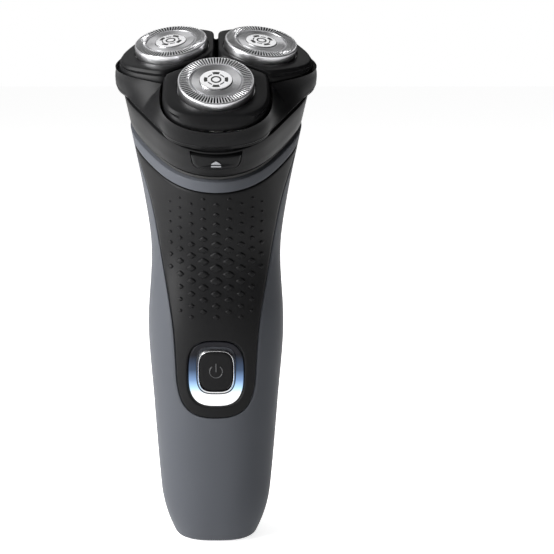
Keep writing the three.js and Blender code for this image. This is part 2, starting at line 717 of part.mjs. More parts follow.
// Distance from the head's axis to the outside of the three lobes' base, in one direction.
function lobesReach(angle) {
  const third = (2 * Math.PI) / LOBE_COUNT;
  const fromLobe = ((angle + Math.PI / 2 + third / 2 + 2 * Math.PI) % third) - third / 2;
  let reach = 8;
  for (let step = 0; step < 24; step += 1) {
    const x = reach * Math.sin(fromLobe);
    const y = reach * Math.cos(fromLobe) - LOBE_RADIUS - LOBE_BOTTOM * Math.sin(LOBE_LEAN);
    const limit = superellipse(Math.atan2(y, x), LOBE_BASE[0], LOBE_BASE[1], LOBE_POWER);
    reach += 0.5 * (limit - Math.hypot(x, y));
  }
  return reach;
}

// 0 at the lobes' outer ends, 1 between two lobes.
function betweenLobes(angle) {
  return (1 - Math.sin(3 * angle)) / 2;
}

// A hoop that rises between the lobes, with the middle knuckle of the hinge at its back.
function headFrame() {
  const edge = (angle) => lobesReach(angle) + FRAME_GAP;
  const rim = (angle) => Math.max(triangleRadius(angle, 28.1, 3.1), edge(angle) + 0.5);
  const underside = (angle) => Math.max(rim(angle) - 1.7, edge(angle) + 0.2);
  const edgeH = (angle) => THREE.MathUtils.lerp(-8, -4.8, betweenLobes(angle) ** 0.7);
  const shoulder = (angle) => THREE.MathUtils.lerp(edge(angle), rim(angle), 0.55);
  const shoulderH = (angle) => THREE.MathUtils.lerp(edgeH(angle), RIM_H, 0.42);
  const hoop = loft([
    headRing(underside, () => FRAME_BOTTOM_H, FRAME_SIDES),
    headRing(rim, () => RIM_H, FRAME_SIDES),
    headRing(shoulder, shoulderH, FRAME_SIDES),
    headRing(edge, edgeH, FRAME_SIDES),
    headRing(edge, () => FRAME_BOTTOM_H, FRAME_SIDES),
  ], true);
  const knuckle = alongX(HINGE_KNUCKLE_R - 0.25, -5, 5);
  const arm = box(9.6, 2.4, 1.3, 0, HINGE_V - 1.8, HINGE_H + 1.3);
  const earRoom = [-1, 1].map((side) => box(3.8, 4.4, 4.2, side * HINGE_EAR_X, HINGE_V + 0.4, HINGE_H + 0.3));
  return cut(join(hoop, knuckle, arm), ...earRoom, alongX(HINGE_PIN_R + 0.16, -12, 12));
}

// Plate under the lobes, with an opening below each cutter and a knob in the middle.
function cutterHolder() {
  const [low, high] = [-12.6, -11.4];
  const outline = (height) => headRing((angle) => lobesReach(angle) - 1.4, () => height, HEAD_SIDES);
  const openings = LOBES.map((index) => onSpindle(rod(CUTTER_R + 0.4, -20, -6, ROUND_SIDES), index));
  const plate = cut(loft([outline(low), outline(high)]), ...openings);
  return join(plate, rod(3.2, low - 2, high - 0.1));
}

// ---------------------------------------------------------------- assembly
const shaver = new THREE.Group();
const head = new THREE.Group();
head.position.set(0, HEAD_Y, HEAD_Z);
head.rotation.x = HEAD_TILT;
shaver.add(head);

// A mesh without the slivers that cuts leave.
function addPiece(parent, name, solid, finish) {
  const piece = new THREE.Mesh(toGeometry(solid.simplify(0.02)), new THREE.MeshStandardMaterial(finish));
  piece.name = name;
  parent.add(piece);
}

addPiece(shaver, "front_shell", SHELL.intersect(FRONT_SPACE), GREY_SHELL);
addPiece(shaver, "rear_shell", SHELL.intersect(REAR_SPACE), GREY_SHELL);
addPiece(shaver, "grip_panel", gripPanel(), BLACK_GRIP);
addPiece(shaver, "light_ring", lightRing(), LIGHT_DIFFUSER);
addPiece(shaver, "power_button", powerButton(), BLACK_SATIN);
addPiece(shaver, "button_bezel", buttonBezel(), SILVER_TRIM);
addPiece(shaver, "circuit_board", box(22, 1.2, 62, 0, BOARD_Y + 1.3, 52), BOARD_GREEN);
addPiece(shaver, "tactile_switch", box(6, 1.8, 6, 0, BOARD_Y - 0.6, BUTTON_Z), BLACK_SATIN);
addPiece(shaver, "status_led", box(3, 1.6, 1.6, 0, BOARD_Y - 0.5, 50), WHITE_PLASTIC);
addPiece(shaver, "inner_chassis", innerChassis(), CHASSIS_PLASTIC);
addPiece(shaver, "battery_cell", batteryCell(), CELL_WRAP);
addPiece(shaver, "battery_tab_bottom", batteryTab(CELL_LOW_Z - 0.7), BRASS);
addPiece(shaver, "battery_tab_top", batteryTab(CELL_HIGH_Z + 0.7), BRASS);
addPiece(shaver, "charging_socket", chargingSocket(), BLACK_SATIN);
addPiece(shaver, "socket_pin_left", socketPin(-SOCKET_PIN_X), BRASS);
addPiece(shaver, "socket_pin_right", socketPin(SOCKET_PIN_X), BRASS);

addPiece(head, "motor_can", motorCan(), STEEL);
addPiece(head, "motor_rotor", motorRotor(), STEEL);
addPiece(head, "pinion", gear(PINION_TEETH, 1.3, GEAR_BOTTOM_H, GEAR_TOP_H), BRASS);
addPiece(head, "gear_plate", gearPlate(), WHITE_PLASTIC);
addPiece(head, "plate_screw_left", plateScrew(-1), STEEL);
addPiece(head, "plate_screw_right", plateScrew(1), STEEL);
addPiece(head, "hair_chamber", hairChamber(), BLACK_SATIN);
addPiece(head, "chamber_gasket", chamberGasket(), BLACK_RUBBER);
addPiece(head, "hinge_pin", hingePin(), STEEL);
addPiece(head, "release_button", releaseButton(), BLACK_SATIN);
addPiece(head, "release_spring", releaseSpring(), STEEL);
addPiece(head, "head_frame", headFrame(), BLACK_SATIN);
addPiece(head, "cutter_holder", cutterHolder(), WHITE_PLASTIC);

for (const index of LOBES) {
  const place = ["front", "right", "left"][index];
  addPiece(head, `gear_axle_${place}`, gearAxle(index), STEEL);
  addPiece(head, `drive_gear_${place}`, driveGear(index), WHITE_PLASTIC);
  addPiece(head, `drive_spindle_${place}`, driveSpindle(index), WHITE_PLASTIC);
  addPiece(head, `spindle_spring_${place}`, spindleSpring(index), STEEL);
  addPiece(head, `spindle_seal_${place}`, spindleSeal(index), BLACK_RUBBER);
  addPiece(head, `lobe_${place}`, lobe(index), BLACK_SATIN);
  addPiece(head, `guard_${place}`, guard(index), STEEL);
  addPiece(head, `guard_disc_${place}`, guardDisc(index), SILVER_TRIM);
  addPiece(head, `cutter_${place}`, cutter(index), STEEL);
}

export default shaver;
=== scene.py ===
"""Rotary electric shaver: fine surfaces, materials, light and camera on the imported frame.

Shapes are worked out in millimetres with the formulas of the CAD source, and turned into metres when
a mesh is made. The head's pieces are built in the head's own frame: its origin is the middle of the
shaving plane and its Z axis points out of that plane.
"""
from math import asin, atan2, cos, exp, hypot, pi, radians, sin, sqrt

import bmesh
import bpy
from mathutils import Matrix, Vector


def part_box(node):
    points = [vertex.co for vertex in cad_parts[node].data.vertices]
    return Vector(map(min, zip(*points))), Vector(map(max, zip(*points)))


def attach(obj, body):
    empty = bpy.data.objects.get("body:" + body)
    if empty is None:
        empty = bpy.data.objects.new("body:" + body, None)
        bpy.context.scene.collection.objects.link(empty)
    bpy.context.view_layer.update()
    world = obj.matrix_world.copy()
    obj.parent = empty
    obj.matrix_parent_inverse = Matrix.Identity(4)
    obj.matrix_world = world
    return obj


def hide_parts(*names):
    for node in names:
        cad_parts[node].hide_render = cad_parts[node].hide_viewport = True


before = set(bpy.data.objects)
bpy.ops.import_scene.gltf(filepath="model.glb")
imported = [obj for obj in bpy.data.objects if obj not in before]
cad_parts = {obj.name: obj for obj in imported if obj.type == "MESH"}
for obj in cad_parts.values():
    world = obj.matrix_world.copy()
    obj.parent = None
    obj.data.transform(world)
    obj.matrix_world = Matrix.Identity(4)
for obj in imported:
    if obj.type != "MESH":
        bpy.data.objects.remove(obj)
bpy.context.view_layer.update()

MM = 0.001

# ---------------------------------------------------------------- driving dimensions, as in the CAD
HEAD_TILT = radians(28.4)
HEAD_Y = -13.5
HEAD_Z = 151.8
LOBE_RADIUS = 15.4
LOBE_LEAN = radians(7.7)
PLACES = ("front", "right", "left")

GUARD_R = 10.75
GUARD_SKIRT = 3.6
DISC_R = 4.6
CUTTER_R = 9.2
JOINT_DEPTH = 4.6
SPINDLE_RADIUS = LOBE_RADIUS - JOINT_DEPTH * sin(LOBE_LEAN)

RIM_H = -12.0
FRAME_BOTTOM_H = -13.0
CHAMBER_TOP_H = -13.6
FLOOR_TOP_H = -21.6
FLOOR_BOTTOM_H = -22.9
CHAMBER_BOTTOM_H = -24.6
COLLAR_H = -26.0

GAP = 0.3
WALL = 2.8
FLOOR_THICKNESS = 3.2
PANEL_THICKNESS = 1.3
BAND_HEIGHT = 3.5
SEAM_Y = 3.0
BASE_TAPER_HEIGHT = 16.0
BASE_TAPER_INSET = 3.3
BASE_EDGE_RADIUS = 1.2
PANEL_BOTTOM_Z = 43.5
PANEL_SIDE = ((11.9, 56.0), (12.9, 72.0), (15.9, 90.0), (19.6, 109.5), (25.5, 126.0))
PATCH_TOP_Z = 72.0  # below this height the panel's surface is laid out round the button

BUTTON_Z = 58.2
BUTTON_SIZE = (5.95, 7.0)
BUTTON_POWER = 3.4
RING_Z = 57.4
RING_SIZE = (8.55, 10.2)
RING_POWER = 3.0
BEZEL_W = 0.9

CHAMBER_TOP_MEAN = 26.9
CHAMBER_TOP_SWELL = 3.1
CHAMBER_BOTTOM_MEAN = 25.4
CHAMBER_BOTTOM_SWELL = 2.2
CHAMBER_WALL = 1.7
CHAMBER_NECK = 0.9
SPINDLE_HOLE_R = 3.2
RELEASE_W = 14.2
RELEASE_LOW_H = -20.9
RELEASE_HIGH_H = -16.1
TOP_SHADOW = 0.6  # extra height of the window over the release button
HINGE_V = 25.9
HINGE_H = -13.2
HINGE_KNUCKLE_R = 1.5

LOBE_BASE = (15.2, 14.8)
LOBE_DECK = (14.5, 12.9)
LOBE_BOTTOM = -6.0
LOBE_DECK_TOP = -2.3
LOBE_GAP = 0.5
RIM_MEAN = 27.6
RIM_SWELL = 3.1
EDGE_H_AT_LOBES = -8.0
EDGE_H_BETWEEN = -4.8
HOLDER_INSET = 2.4  # from the outside of the lobes' bases
LOBE_POWER = 2.7
DECK_POWER = 3.1
FRAME_GAP = 0.7

# handle stations: height, half width, depth to the front, depth to the back, swell of the triangle
STATIONS = (
    (0.0, 16.0, 13.6, 13.6, 0.0),
    (22.0, 18.0, 15.8, 15.6, 0.0),
    (45.0, 19.6, 18.2, 18.0, 0.0),
    (69.0, 21.1, 19.6, 19.6, 0.0),
    (93.0, 19.9, 18.4, 20.4, 0.0),
    (110.0, 22.0, 21.7, 22.2, 1.0),
    (128.9, 25.55, 25.55, 25.55, 2.2),
)
COLLAR_Z = STATIONS[-1][0]
COLLAR_Y = HEAD_Y - COLLAR_H * sin(HEAD_TILT)
TILT_START_Z = 80.0

FRONT = radians(-90)

# ---------------------------------------------------------------- small helpers


def lerp(a, b, t):
    return a + (b - a) * t


def smoothstep(t):
    t = min(max(t, 0.0), 1.0)
    return t * t * (3 - 2 * t)


def steps(low, high, count):
    """count + 1 values from low to high."""
    return [lerp(low, high, i / count) for i in range(count + 1)]


def around(count):
    """Angles of one full turn."""
    return steps(0, 2 * pi, count)[:-1]


def polar(radius, angle, height):
    return radius * cos(angle), radius * sin(angle), height


def ring_of(radius, height, count, x=0.0, y=0.0):
    """A level circle of points."""
    return [(x + radius * cos(a), y + radius * sin(a), height) for a in around(count)]


def mirror(point):
    return Vector((-point.x, point.y, point.z))


def both_sides(right):
    """A closed loop from its right half, which starts and ends on the middle plane."""
    return right + [mirror(point) for point in right[-2:0:-1]]


def solve(function, low, high, rounds=26):
    """Where a rising function is zero, or the nearer end if it isn't zero between them."""
    for _ in range(rounds):
        middle = (low + high) / 2
        if function(middle) < 0:
            low = middle
        else:
            high = middle
    return (low + high) / 2


def superellipse(angle, half_width, half_depth, power):
    across = abs(cos(angle)) / half_width
    along = abs(sin(angle)) / half_depth
    return (across**power + along**power) ** (-1 / power)


def in_metres(matrix):
    """The same placement with its offset in metres."""
    placed = matrix.copy()
    placed.translation *= MM
    return placed


HEAD = Matrix.Translation((0, HEAD_Y, HEAD_Z)) @ Matrix.Rotation(HEAD_TILT, 4, "X")
WORLD = Matrix.Identity(4)


def lobe_angle(index):
    return FRONT + index * 2 * pi / 3


def lobe_place(index):
    """The frame of one lobe: its guard's middle, with Y away from the head's axis."""
    angle = lobe_angle(index)
    offset = Matrix.Translation((LOBE_RADIUS * cos(angle), LOBE_RADIUS * sin(angle), 0))
    turn = Matrix.Rotation(angle - pi / 2, 4, "Z")
    return HEAD @ offset @ turn @ Matrix.Rotation(-LOBE_LEAN, 4, "X")


def spindle_xy(index):
    angle = lobe_angle(index)
    return SPINDLE_RADIUS * cos(angle), SPINDLE_RADIUS * sin(angle)


def spindle_place(index):
    return HEAD @ Matrix.Translation((*spindle_xy(index), 0))


# ---------------------------------------------------------------- mesh building
MERGE_DISTANCE = 0.01
SLIVER = 0.002


class Shape:
    """Vertices in millimetres and faces, gathered before a mesh is made."""

    def __init__(self):
        self.points = []
        self.faces = []

    def add(self, points):
        start = len(self.points)
        self.points.extend(Vector(point) for point in points)
        return list(range(start, len(self.points)))

    def join(self, other):
        start = len(self.points)
        self.points += other.points
        self.faces += [tuple(start + i for i in face) for face in other.faces]

    def skin(self, rows, closed=False, looped=False):
        """Quads between rows of indices.

        A closed row joins its ends, and looped joins the last row to the first.
        """
        pairs = list(zip(rows, rows[1:])) + ([(rows[-1], rows[0])] if looped else [])
        for low, high in pairs:
            count = len(low)
            for i in range(count if closed else count - 1):
                j = (i + 1) % count
                self.faces.append((low[i], low[j], high[j], high[i]))

    def loft(self, rings, caps=(False, False), looped=False):
        rows = [self.add(ring) for ring in rings]
        self.skin(rows, closed=True, looped=looped)
        if caps[0]:
            self.faces.append(tuple(reversed(rows[0])))
        if caps[1]:
            self.faces.append(tuple(rows[-1]))
        return rows

    def revolve(self, profile, sides):
        """A solid of revolution about Z. A profile that starts and ends on the axis is closed there."""
        on_axis = profile[0][0] < 1e-6 or profile[-1][0] < 1e-6
        self.loft([ring_of(radius, height, sides) for radius, height in profile], looped=not on_axis)

    def tube(self, path, radius, sides=8, closed=False):
        """A round tube along a path."""
        rings = []
        count = len(path)
        for i, point in enumerate(path):
            before = path[(i - 1) % count] if closed or i > 0 else point
            after = path[(i + 1) % count] if closed or i < count - 1 else point
            along = (Vector(after) - Vector(before)).normalized()
            side = along.orthogonal() if abs(along.z) > 0.95 else along.cross((0, 0, 1))
            side.normalize()
            up = side.cross(along)
            rings.append([Vector(point) + radius * (side * cos(a) + up * sin(a)) for a in around(sides)])
        self.loft(rings, caps=(not closed, not closed), looped=closed)


def put_in_scene(name, data):
    """A new object for a mesh, lamp or camera."""
    made = bpy.data.objects.new(name, data)
    bpy.context.scene.collection.objects.link(made)
    return made


def link_mesh(name, shape, placement):
    """An object in the scene, with doubled points merged and faces turned outwards."""
    mesh = bpy.data.meshes.new(name)
    mesh.from_pydata([point * MM for point in shape.points], [], shape.faces)
    tidy = bmesh.new()
    tidy.from_mesh(mesh)
    bmesh.ops.remove_doubles(tidy, verts=tidy.verts, dist=MERGE_DISTANCE * MM)
    bmesh.ops.dissolve_degenerate(tidy, edges=tidy.edges, dist=SLIVER * MM)
    bmesh.ops.recalc_face_normals(tidy, faces=tidy.faces)
    tidy.to_mesh(mesh)
    tidy.free()
    made = put_in_scene(name, mesh)
    made.matrix_world = placement
    return made


def make_piece(name, shape, material, body, replaces=(), place=WORLD, sharp=34, slot=None):
    """A mesh object that rides on a CAD body and stands for the CAD nodes it replaces."""
    piece = link_mesh(name, shape, in_metres(place))
    piece.data.materials.append(material)
    shade(piece, sharp)
    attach(piece, body)
    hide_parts(*replaces)
    return piece


def fine(node, shape, material, body, **options):
    """A detailed piece that stands for one CAD node."""
    return make_piece(f"{node}_fine", shape, MATERIALS[material], body, [node], **options)


def shade(piece, sharp):
    piece.data.shade_smooth()
    piece.data.set_sharp_from_angle(angle=radians(sharp))


def carve(piece, shapes, sharp=34):
    """Cuts closed shapes, given in the piece's own frame, out of a piece."""
    for shape in shapes:
        tool = link_mesh("carving_tool", shape, piece.matrix_world)
        modifier = piece.modifiers.new("carve", "BOOLEAN")
        modifier.operation = "DIFFERENCE"
        modifier.solver = "EXACT"
        modifier.object = tool
        bpy.context.view_layer.update()
        graph = bpy.context.evaluated_depsgraph_get()
        carved = bpy.data.meshes.new_from_object(piece.evaluated_get(graph))
        piece.modifiers.clear()
        spent = (piece.data, tool.data)
        piece.data = carved
        bpy.data.objects.remove(tool)
        for mesh in spent:
            bpy.data.meshes.remove(mesh)
    shade(piece, sharp)


def block(width, depth, height, x, y, z):
    shape = Shape()
    corners = [(-1, -1), (1, -1), (1, 1), (-1, 1)]
    rings = [
        [(x + a * width / 2, y + b * depth / 2, z + c * height / 2) for a, b in corners]
        for c in (-1, 1)
    ]
    shape.loft(rings, caps=(True, True))
    return shape


def cylinder(radius, low, high, x=0.0, y=0.0, sides=48):
    shape = Shape()
    shape.loft([ring_of(radius, height, sides, x, y) for height in (low, high)], caps=(True, True))
    return shape


# ---------------------------------------------------------------- the handle's form


def station_slope(index, column):
    before = STATIONS[max(index - 1, 0)]
    after = STATIONS[min(index + 1, len(STATIONS) - 1)]
    return (after[column] - before[column]) / (after[0] - before[0])


def measure_at(height, column):
    index = 0
    while index < len(STATIONS) - 2 and height > STATIONS[index + 1][0]:
        index += 1
    low, high = STATIONS[index], STATIONS[index + 1]
    span = high[0] - low[0]
    t = (height - low[0]) / span
    rise = (1 + 2 * t) * (1 - t) ** 2 * low[column] + t * t * (3 - 2 * t) * high[column]
    bend = t * (1 - t) ** 2 * station_slope(index, column)
    return rise + span * (bend - t * t * (1 - t) * station_slope(index + 1, column))


def base_inset(height):
    taper = max(1 - height / BASE_TAPER_HEIGHT, 0.0)
    edge = min(max(1 - height / BASE_EDGE_RADIUS, 0.0), 1.0)
    return BASE_TAPER_INSET * taper * taper + BASE_EDGE_RADIUS * (1 - sqrt(1 - edge * edge))


def handle_tilt(height):
    return HEAD_TILT * smoothstep((height - TILT_START_Z) / (COLLAR_Z - TILT_START_Z))


def handle_point(angle, height, inset=0.0):
    """A point of the handle's form at an angle round the section at a height."""
    tilt = handle_tilt(height)
    power = lerp(2.35, 2.0, tilt / HEAD_TILT)
    depth = measure_at(height, 2 if sin(angle) < 0 else 3)
    radius = superellipse(angle, measure_at(height, 1), depth, power)
    radius += measure_at(height, 4) * sin(3 * angle) - base_inset(height) - inset
    x, y = radius * cos(angle), radius * sin(angle)
    return Vector((x, y * cos(tilt) + COLLAR_Y * tilt / HEAD_TILT, y * sin(tilt) + height))


def spline_side(count=12):
    """The panel's side above its rounded end, as (half width, z), on a smooth curve through its points."""
    points = [PANEL_SIDE[0], *PANEL_SIDE, PANEL_SIDE[-1]]
    line = []
    for before, low, high, after in zip(points, points[1:], points[2:], points[3:]):
        for t in steps(0, 1, count)[:-1]:
            line.append(
                tuple(
                    low[k]
                    + t * (high[k] - before[k]) / 2
                    + t * t * (2 * before[k] - 5 * low[k] + 4 * high[k] - after[k]) / 2
                    + t**3 * (3 * low[k] - before[k] - 3 * high[k] + after[k]) / 2
                    for k in (0, 1)
                )
            )
    return [*line, PANEL_SIDE[-1], (40.0, 150.0)]


def panel_end(t, grow=0.0):
    """The panel's rounded lower end: t runs from the middle to the side."""
    low = PANEL_BOTTOM_Z - grow
    side, shoulder = PANEL_SIDE[0]
    weights = ((1 - t) ** 3, 3 * t * (1 - t) ** 2, 3 * t * t * (1 - t), t**3)
    xs = (0, 7.5, side + grow - 0.6, side + grow)
    zs = (low, low, PANEL_BOTTOM_Z + 2, shoulder)
    return sum(w * x for w, x in zip(weights, xs)), sum(w * z for w, z in zip(weights, zs))


SIDE_LINE = spline_side()


def panel_half_width(z, grow=0.0):
    if z <= PANEL_BOTTOM_Z - grow:
        return 0.0
    if z < PANEL_SIDE[0][1]:
        return panel_end(solve(lambda t: panel_end(t, grow)[1] - z, 0, 1), grow)[0]
    for (low_x, low_z), (high_x, high_z) in zip(SIDE_LINE, SIDE_LINE[1:]):
        if z <= high_z:
            return lerp(low_x, high_x, (z - low_z) / (high_z - low_z)) + grow
    return SIDE_LINE[-1][0]


def panel_edge(height, grow=0.0):
    """Angle of the panel's right edge on the section at a height."""
    if height < PANEL_BOTTOM_Z - grow:
        return FRONT
    limit = seam_angle(height, -2.0 + grow)

    def past(angle):
        point = handle_point(angle, height)
        return point.x - panel_half_width(point.z, grow)

    return solve(past, FRONT, limit)


def seam_angle(height, y):
    """Angle on the right side where the section at a height crosses a plane of constant y."""
    return solve(lambda angle: handle_point(angle, height).y - y, radians(-60), radians(80))


INTO_HEAD = HEAD.inverted()


def head_height(point):
    """Height of a world point over the shaving plane."""
    return (INTO_HEAD @ point).z


def height_on_plane(angle, plane):
    """Section height at which the handle's form reaches a plane of the head frame."""
    return solve(lambda height: head_height(handle_point(angle, height)) - plane, 95, COLLAR_Z + 4, 22)


def meets(edge_at, start, plane, t):
    """Angle at which a row, t of the way from a level to a plane, meets an edge of the surface."""
    height = start
    for _ in range(4):
        angle = edge_at(height)
        height = lerp(start, height_on_plane(angle, plane), t)
    return angle


def on_front(x, z, inset=0.0):
    """The front surface's point with this x and z, below the height where the sections tilt."""
    side = solve(lambda angle: handle_point(angle, z).x - abs(x), FRONT, radians(-2))
    point = handle_point(side, z, inset)
    return point if x >= 0 else mirror(point)


def on_tilted_front(x, z, inset=0.0):
    """The front surface's point with this x and z, at any height."""
    height = z
    for _ in range(3):
        side = solve(lambda angle: handle_point(angle, height).x - abs(x), FRONT, radians(-2), 14)
        height += z - handle_point(side, height).z
    point = handle_point(side, height, inset)
    return point if x >= 0 else mirror(point)


def risen_row(columns, plane, t):
    """A row of (angle, inset) columns, t of the way from the patch's top to a plane of the head frame."""
    heights = [lerp(PATCH_TOP_Z, height_on_plane(angle, plane), t) for angle, _ in columns]
    return [handle_point(a, h, inset) for (a, inset), h in zip(columns, heights)]


def plane_row(columns, plane, deep=0.0):
    """A row on a plane of the head frame, at least this deep."""
    return [handle_point(a, height_on_plane(a, plane), max(inset, deep)) for a, inset in columns]


# ---------------------------------------------------------------- materials


def mix_node(nodes, links, factor, low, high):
    """A colour mix of two values by a factor socket."""
    mix = nodes.new("ShaderNodeMix")
    mix.data_type = "RGBA"
    links.new(factor, mix.inputs["Factor"])
    mix.inputs[6].default_value = (*low, 1)
    mix.inputs[7].default_value = (*high, 1)
    return mix.outputs[2]


def spread(nodes, links, source, low, high):
    """Maps a 0 to 1 socket to low..high."""
    ranged = nodes.new("ShaderNodeMapRange")
    ranged.inputs["To Min"].default_value = low
    ranged.inputs["To Max"].default_value = high
    links.new(source, ranged.inputs["Value"])
    return ranged.outputs["Result"]


def noise(nodes, links, coordinates, scale, detail=3.0):
    """Noise of features about one over scale metres."""
    texture = nodes.new("ShaderNodeTexNoise")
    texture.inputs["Scale"].default_value = scale
    texture.inputs["Detail"].default_value = detail
    links.new(coordinates, texture.inputs["Vector"])
    return texture.outputs["Fac"]


def uneven_gloss(nodes, links, shader, wear, low, high):
    """Roughness between two values, by a noise socket."""
    links.new(spread(nodes, links, wear, low, high), shader.inputs["Roughness"])


def new_material(name):
    """A material with its nodes, links, shader and the piece's own coordinates."""
    material = bpy.data.materials.new(name)
    material.use_nodes = True
    nodes, links = material.node_tree.nodes, material.node_tree.links
    place = nodes.new("ShaderNodeTexCoord").outputs["Object"]
    return material, nodes, links, nodes["Principled BSDF"], place


def moulded(name, colour, roughness, grain=900.0, depth=0.02, patchiness=0.08, specular=0.5):
    """Moulded plastic or rubber: a fine grain in the surface, and uneven gloss and colour."""
    material, nodes, links, shader, place = new_material(name)
    shader.inputs["Specular IOR Level"].default_value = specular
    clouds = noise(nodes, links, place, 45.0)
    dark = tuple(c * (1 - patchiness) for c in colour)
    light = tuple(min(c * (1 + patchiness), 1) for c in colour)
    links.new(mix_node(nodes, links, clouds, dark, light), shader.inputs["Base Color"])
    wear = noise(nodes, links, place, 160.0, 5.0)
    uneven_gloss(nodes, links, shader, wear, roughness - 0.05, roughness + 0.06)
    bump = nodes.new("ShaderNodeBump")
    bump.inputs["Strength"].default_value = 0.35
    bump.inputs["Distance"].default_value = depth * MM
    links.new(noise(nodes, links, place, grain, 2.0), bump.inputs["Height"])
    links.new(bump.outputs["Normal"], shader.inputs["Normal"])
    return material


def metal(name, colour, roughness):
    """Bright metal with slightly uneven colour and gloss."""
    material, nodes, links, shader, place = new_material(name)
    shader.inputs["Metallic"].default_value = 1.0
    clouds = noise(nodes, links, place, 120.0)
    dark = tuple(c * 0.97 for c in colour)
    links.new(mix_node(nodes, links, clouds, dark, colour), shader.inputs["Base Color"])
    wear = noise(nodes, links, place, 200.0, 2.0)
    uneven_gloss(nodes, links, shader, wear, roughness - 0.015, roughness + 0.02)
    return material


def light_diffuser():
    """Clear diffuser lit from its lower end: white there, pale blue up its sides, dark at its top."""
    material, nodes, links, shader, place = new_material("light_diffuser")
    shader.inputs["Base Color"].default_value = (0.006, 0.006, 0.008, 1)
    shader.inputs["Specular IOR Level"].default_value = 0.1
    shader.inputs["Emission Strength"].default_value = 1.25
    split = nodes.new("ShaderNodeSeparateXYZ")
    links.new(place, split.inputs["Vector"])
    climb = nodes.new("ShaderNodeMapRange")
    climb.inputs["From Min"].default_value = (RING_Z - RING_SIZE[1]) * MM
    climb.inputs["From Max"].default_value = (RING_Z + RING_SIZE[1]) * MM
    links.new(split.outputs["Z"], climb.inputs["Value"])
    ramp = nodes.new("ShaderNodeValToRGB")
    links.new(climb.outputs["Result"], ramp.inputs["Fac"])
    stops = ramp.color_ramp.elements
    stops[0].position, stops[0].color = 0.17, (1, 1, 1, 1)
    stops[1].position, stops[1].color = 0.78, (0, 0, 0, 1)
    for position, colour in ((0.27, (0.5, 0.76, 1)), (0.4, (0.18, 0.3, 0.52)), (0.55, (0.04, 0.07, 0.13))):
        stop = stops.new(position)
        stop.color = (*colour, 1)
    links.new(ramp.outputs["Color"], shader.inputs["Emission Color"])
    uneven_gloss(nodes, links, shader, noise(nodes, links, place, 400.0), 0.18, 0.26)
    return material


def make_materials():
    made = [
        light_diffuser(),
        moulded("grey_shell", (0.050, 0.053, 0.060), 0.46, depth=0.008, patchiness=0.03, specular=0.05),
        moulded("black_grip", (0.0045, 0.0045, 0.0048), 0.44, grain=2600.0, specular=0.09),
        moulded("black_satin", (0.0050, 0.0050, 0.0053), 0.38, grain=1800.0, depth=0.010, specular=0.08),
        moulded("black_rubber", (0.006, 0.006, 0.006), 0.62, grain=1500.0, depth=0.04),
        moulded("print_grey", (0.20, 0.205, 0.215), 0.4, depth=0.004),
        moulded("symbol_grey", (0.035, 0.036, 0.038), 0.35, depth=0.004),
        moulded("board_green", (0.012, 0.10, 0.04), 0.4),
        moulded("cell_wrap", (0.03, 0.20, 0.09), 0.3),
        moulded("white_plastic", (0.62, 0.62, 0.61), 0.42),
        moulded("chassis_plastic", (0.05, 0.053, 0.06), 0.45),
        metal("silver_trim", (0.72, 0.72, 0.73), 0.22),
        metal("guard_steel", (0.50, 0.50, 0.51), 0.30),
        metal("dark_steel", (0.035, 0.036, 0.038), 0.45),
        metal("steel", (0.30, 0.31, 0.32), 0.3),
        metal("brass", (0.75, 0.55, 0.25), 0.25),
    ]
    return {material.name.split(".")[0]: material for material in made}


MATERIALS = make_materials()


def dress_cad_nodes():
    """The CAD nodes that stay take the material of their slot."""
    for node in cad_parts.values():
        for material_slot in node.material_slots:
            name = material_slot.material.name.split(".")[0]
            if name in MATERIALS:
                material_slot.material = MATERIALS[name]


# ---------------------------------------------------------------- shells
BAND_LOW_H = COLLAR_H - BAND_HEIGHT + GAP
LIP = ((1.0, 0.0), (0.3, 0.3), (0.0, 1.0))  # a rounded edge: parts of the gap inwards and deep


def mirrored(row):
    """A row from the middle to the right side, with its mirror image on the left."""
    left = [mirror(point) for point in row[::-1]]
    return left[:-1] + row if row[0].x < 1e-4 else left + row


def front_columns(edge, seam, sunk, height):
    """Columns of the front shell as (angle, inset), from the middle to the seam.

    They are sunk up to the panel's edge, with rounded lips at the edge and the seam.
    """
    lip = GAP / measure_at(height, 1)
    row = [(lerp(FRONT, edge, t), sunk) for t in steps(0, 1, 20)]
    row += [(edge, min(sunk, GAP)), (edge + 0.3 * lip, min(sunk, 0.3 * GAP))]
    row += [(lerp(edge + lip, seam - lip, t), 0.0) for t in steps(0, 1, 26)]
    return row + [(seam - 0.3 * lip, 0.3 * GAP), (seam, GAP)]


def rear_columns(seam, height):
    lip = GAP / measure_at(height, 1)
    row = [(lerp(pi / 2, seam + lip, t), 0.0) for t in steps(0, 1, 34)]
    return row + [(seam + 0.3 * lip, 0.3 * GAP), (seam, GAP)]


def low_heights():
    """Heights of the level sections, close together where the form turns quickly."""
    base = [BASE_EDGE_RADIUS * (1 - cos(a)) for a in steps(0, pi / 2, 8)]
    low = steps(BASE_EDGE_RADIUS, PANEL_BOTTOM_Z - GAP, 30)[1:]
    end = [panel_end(t, GAP)[1] for t in steps(0, 1, 22)][1:]
    return base + low + end + steps(PANEL_SIDE[0][1], PATCH_TOP_Z, 8)[1:]


def band_planes():
    """Planes from the recess's upper edge to the collar, with the inset of a rounded edge at both."""
    rise = [(BAND_LOW_H, GAP), (BAND_LOW_H + 0.3 * GAP, 0.3 * GAP)]
    middle = [(plane, 0.0) for plane in steps(BAND_LOW_H + GAP, COLLAR_H - GAP, 5)]
    return rise + middle, [(COLLAR_H - 0.3 * GAP, 0.3 * GAP), (COLLAR_H, GAP)]


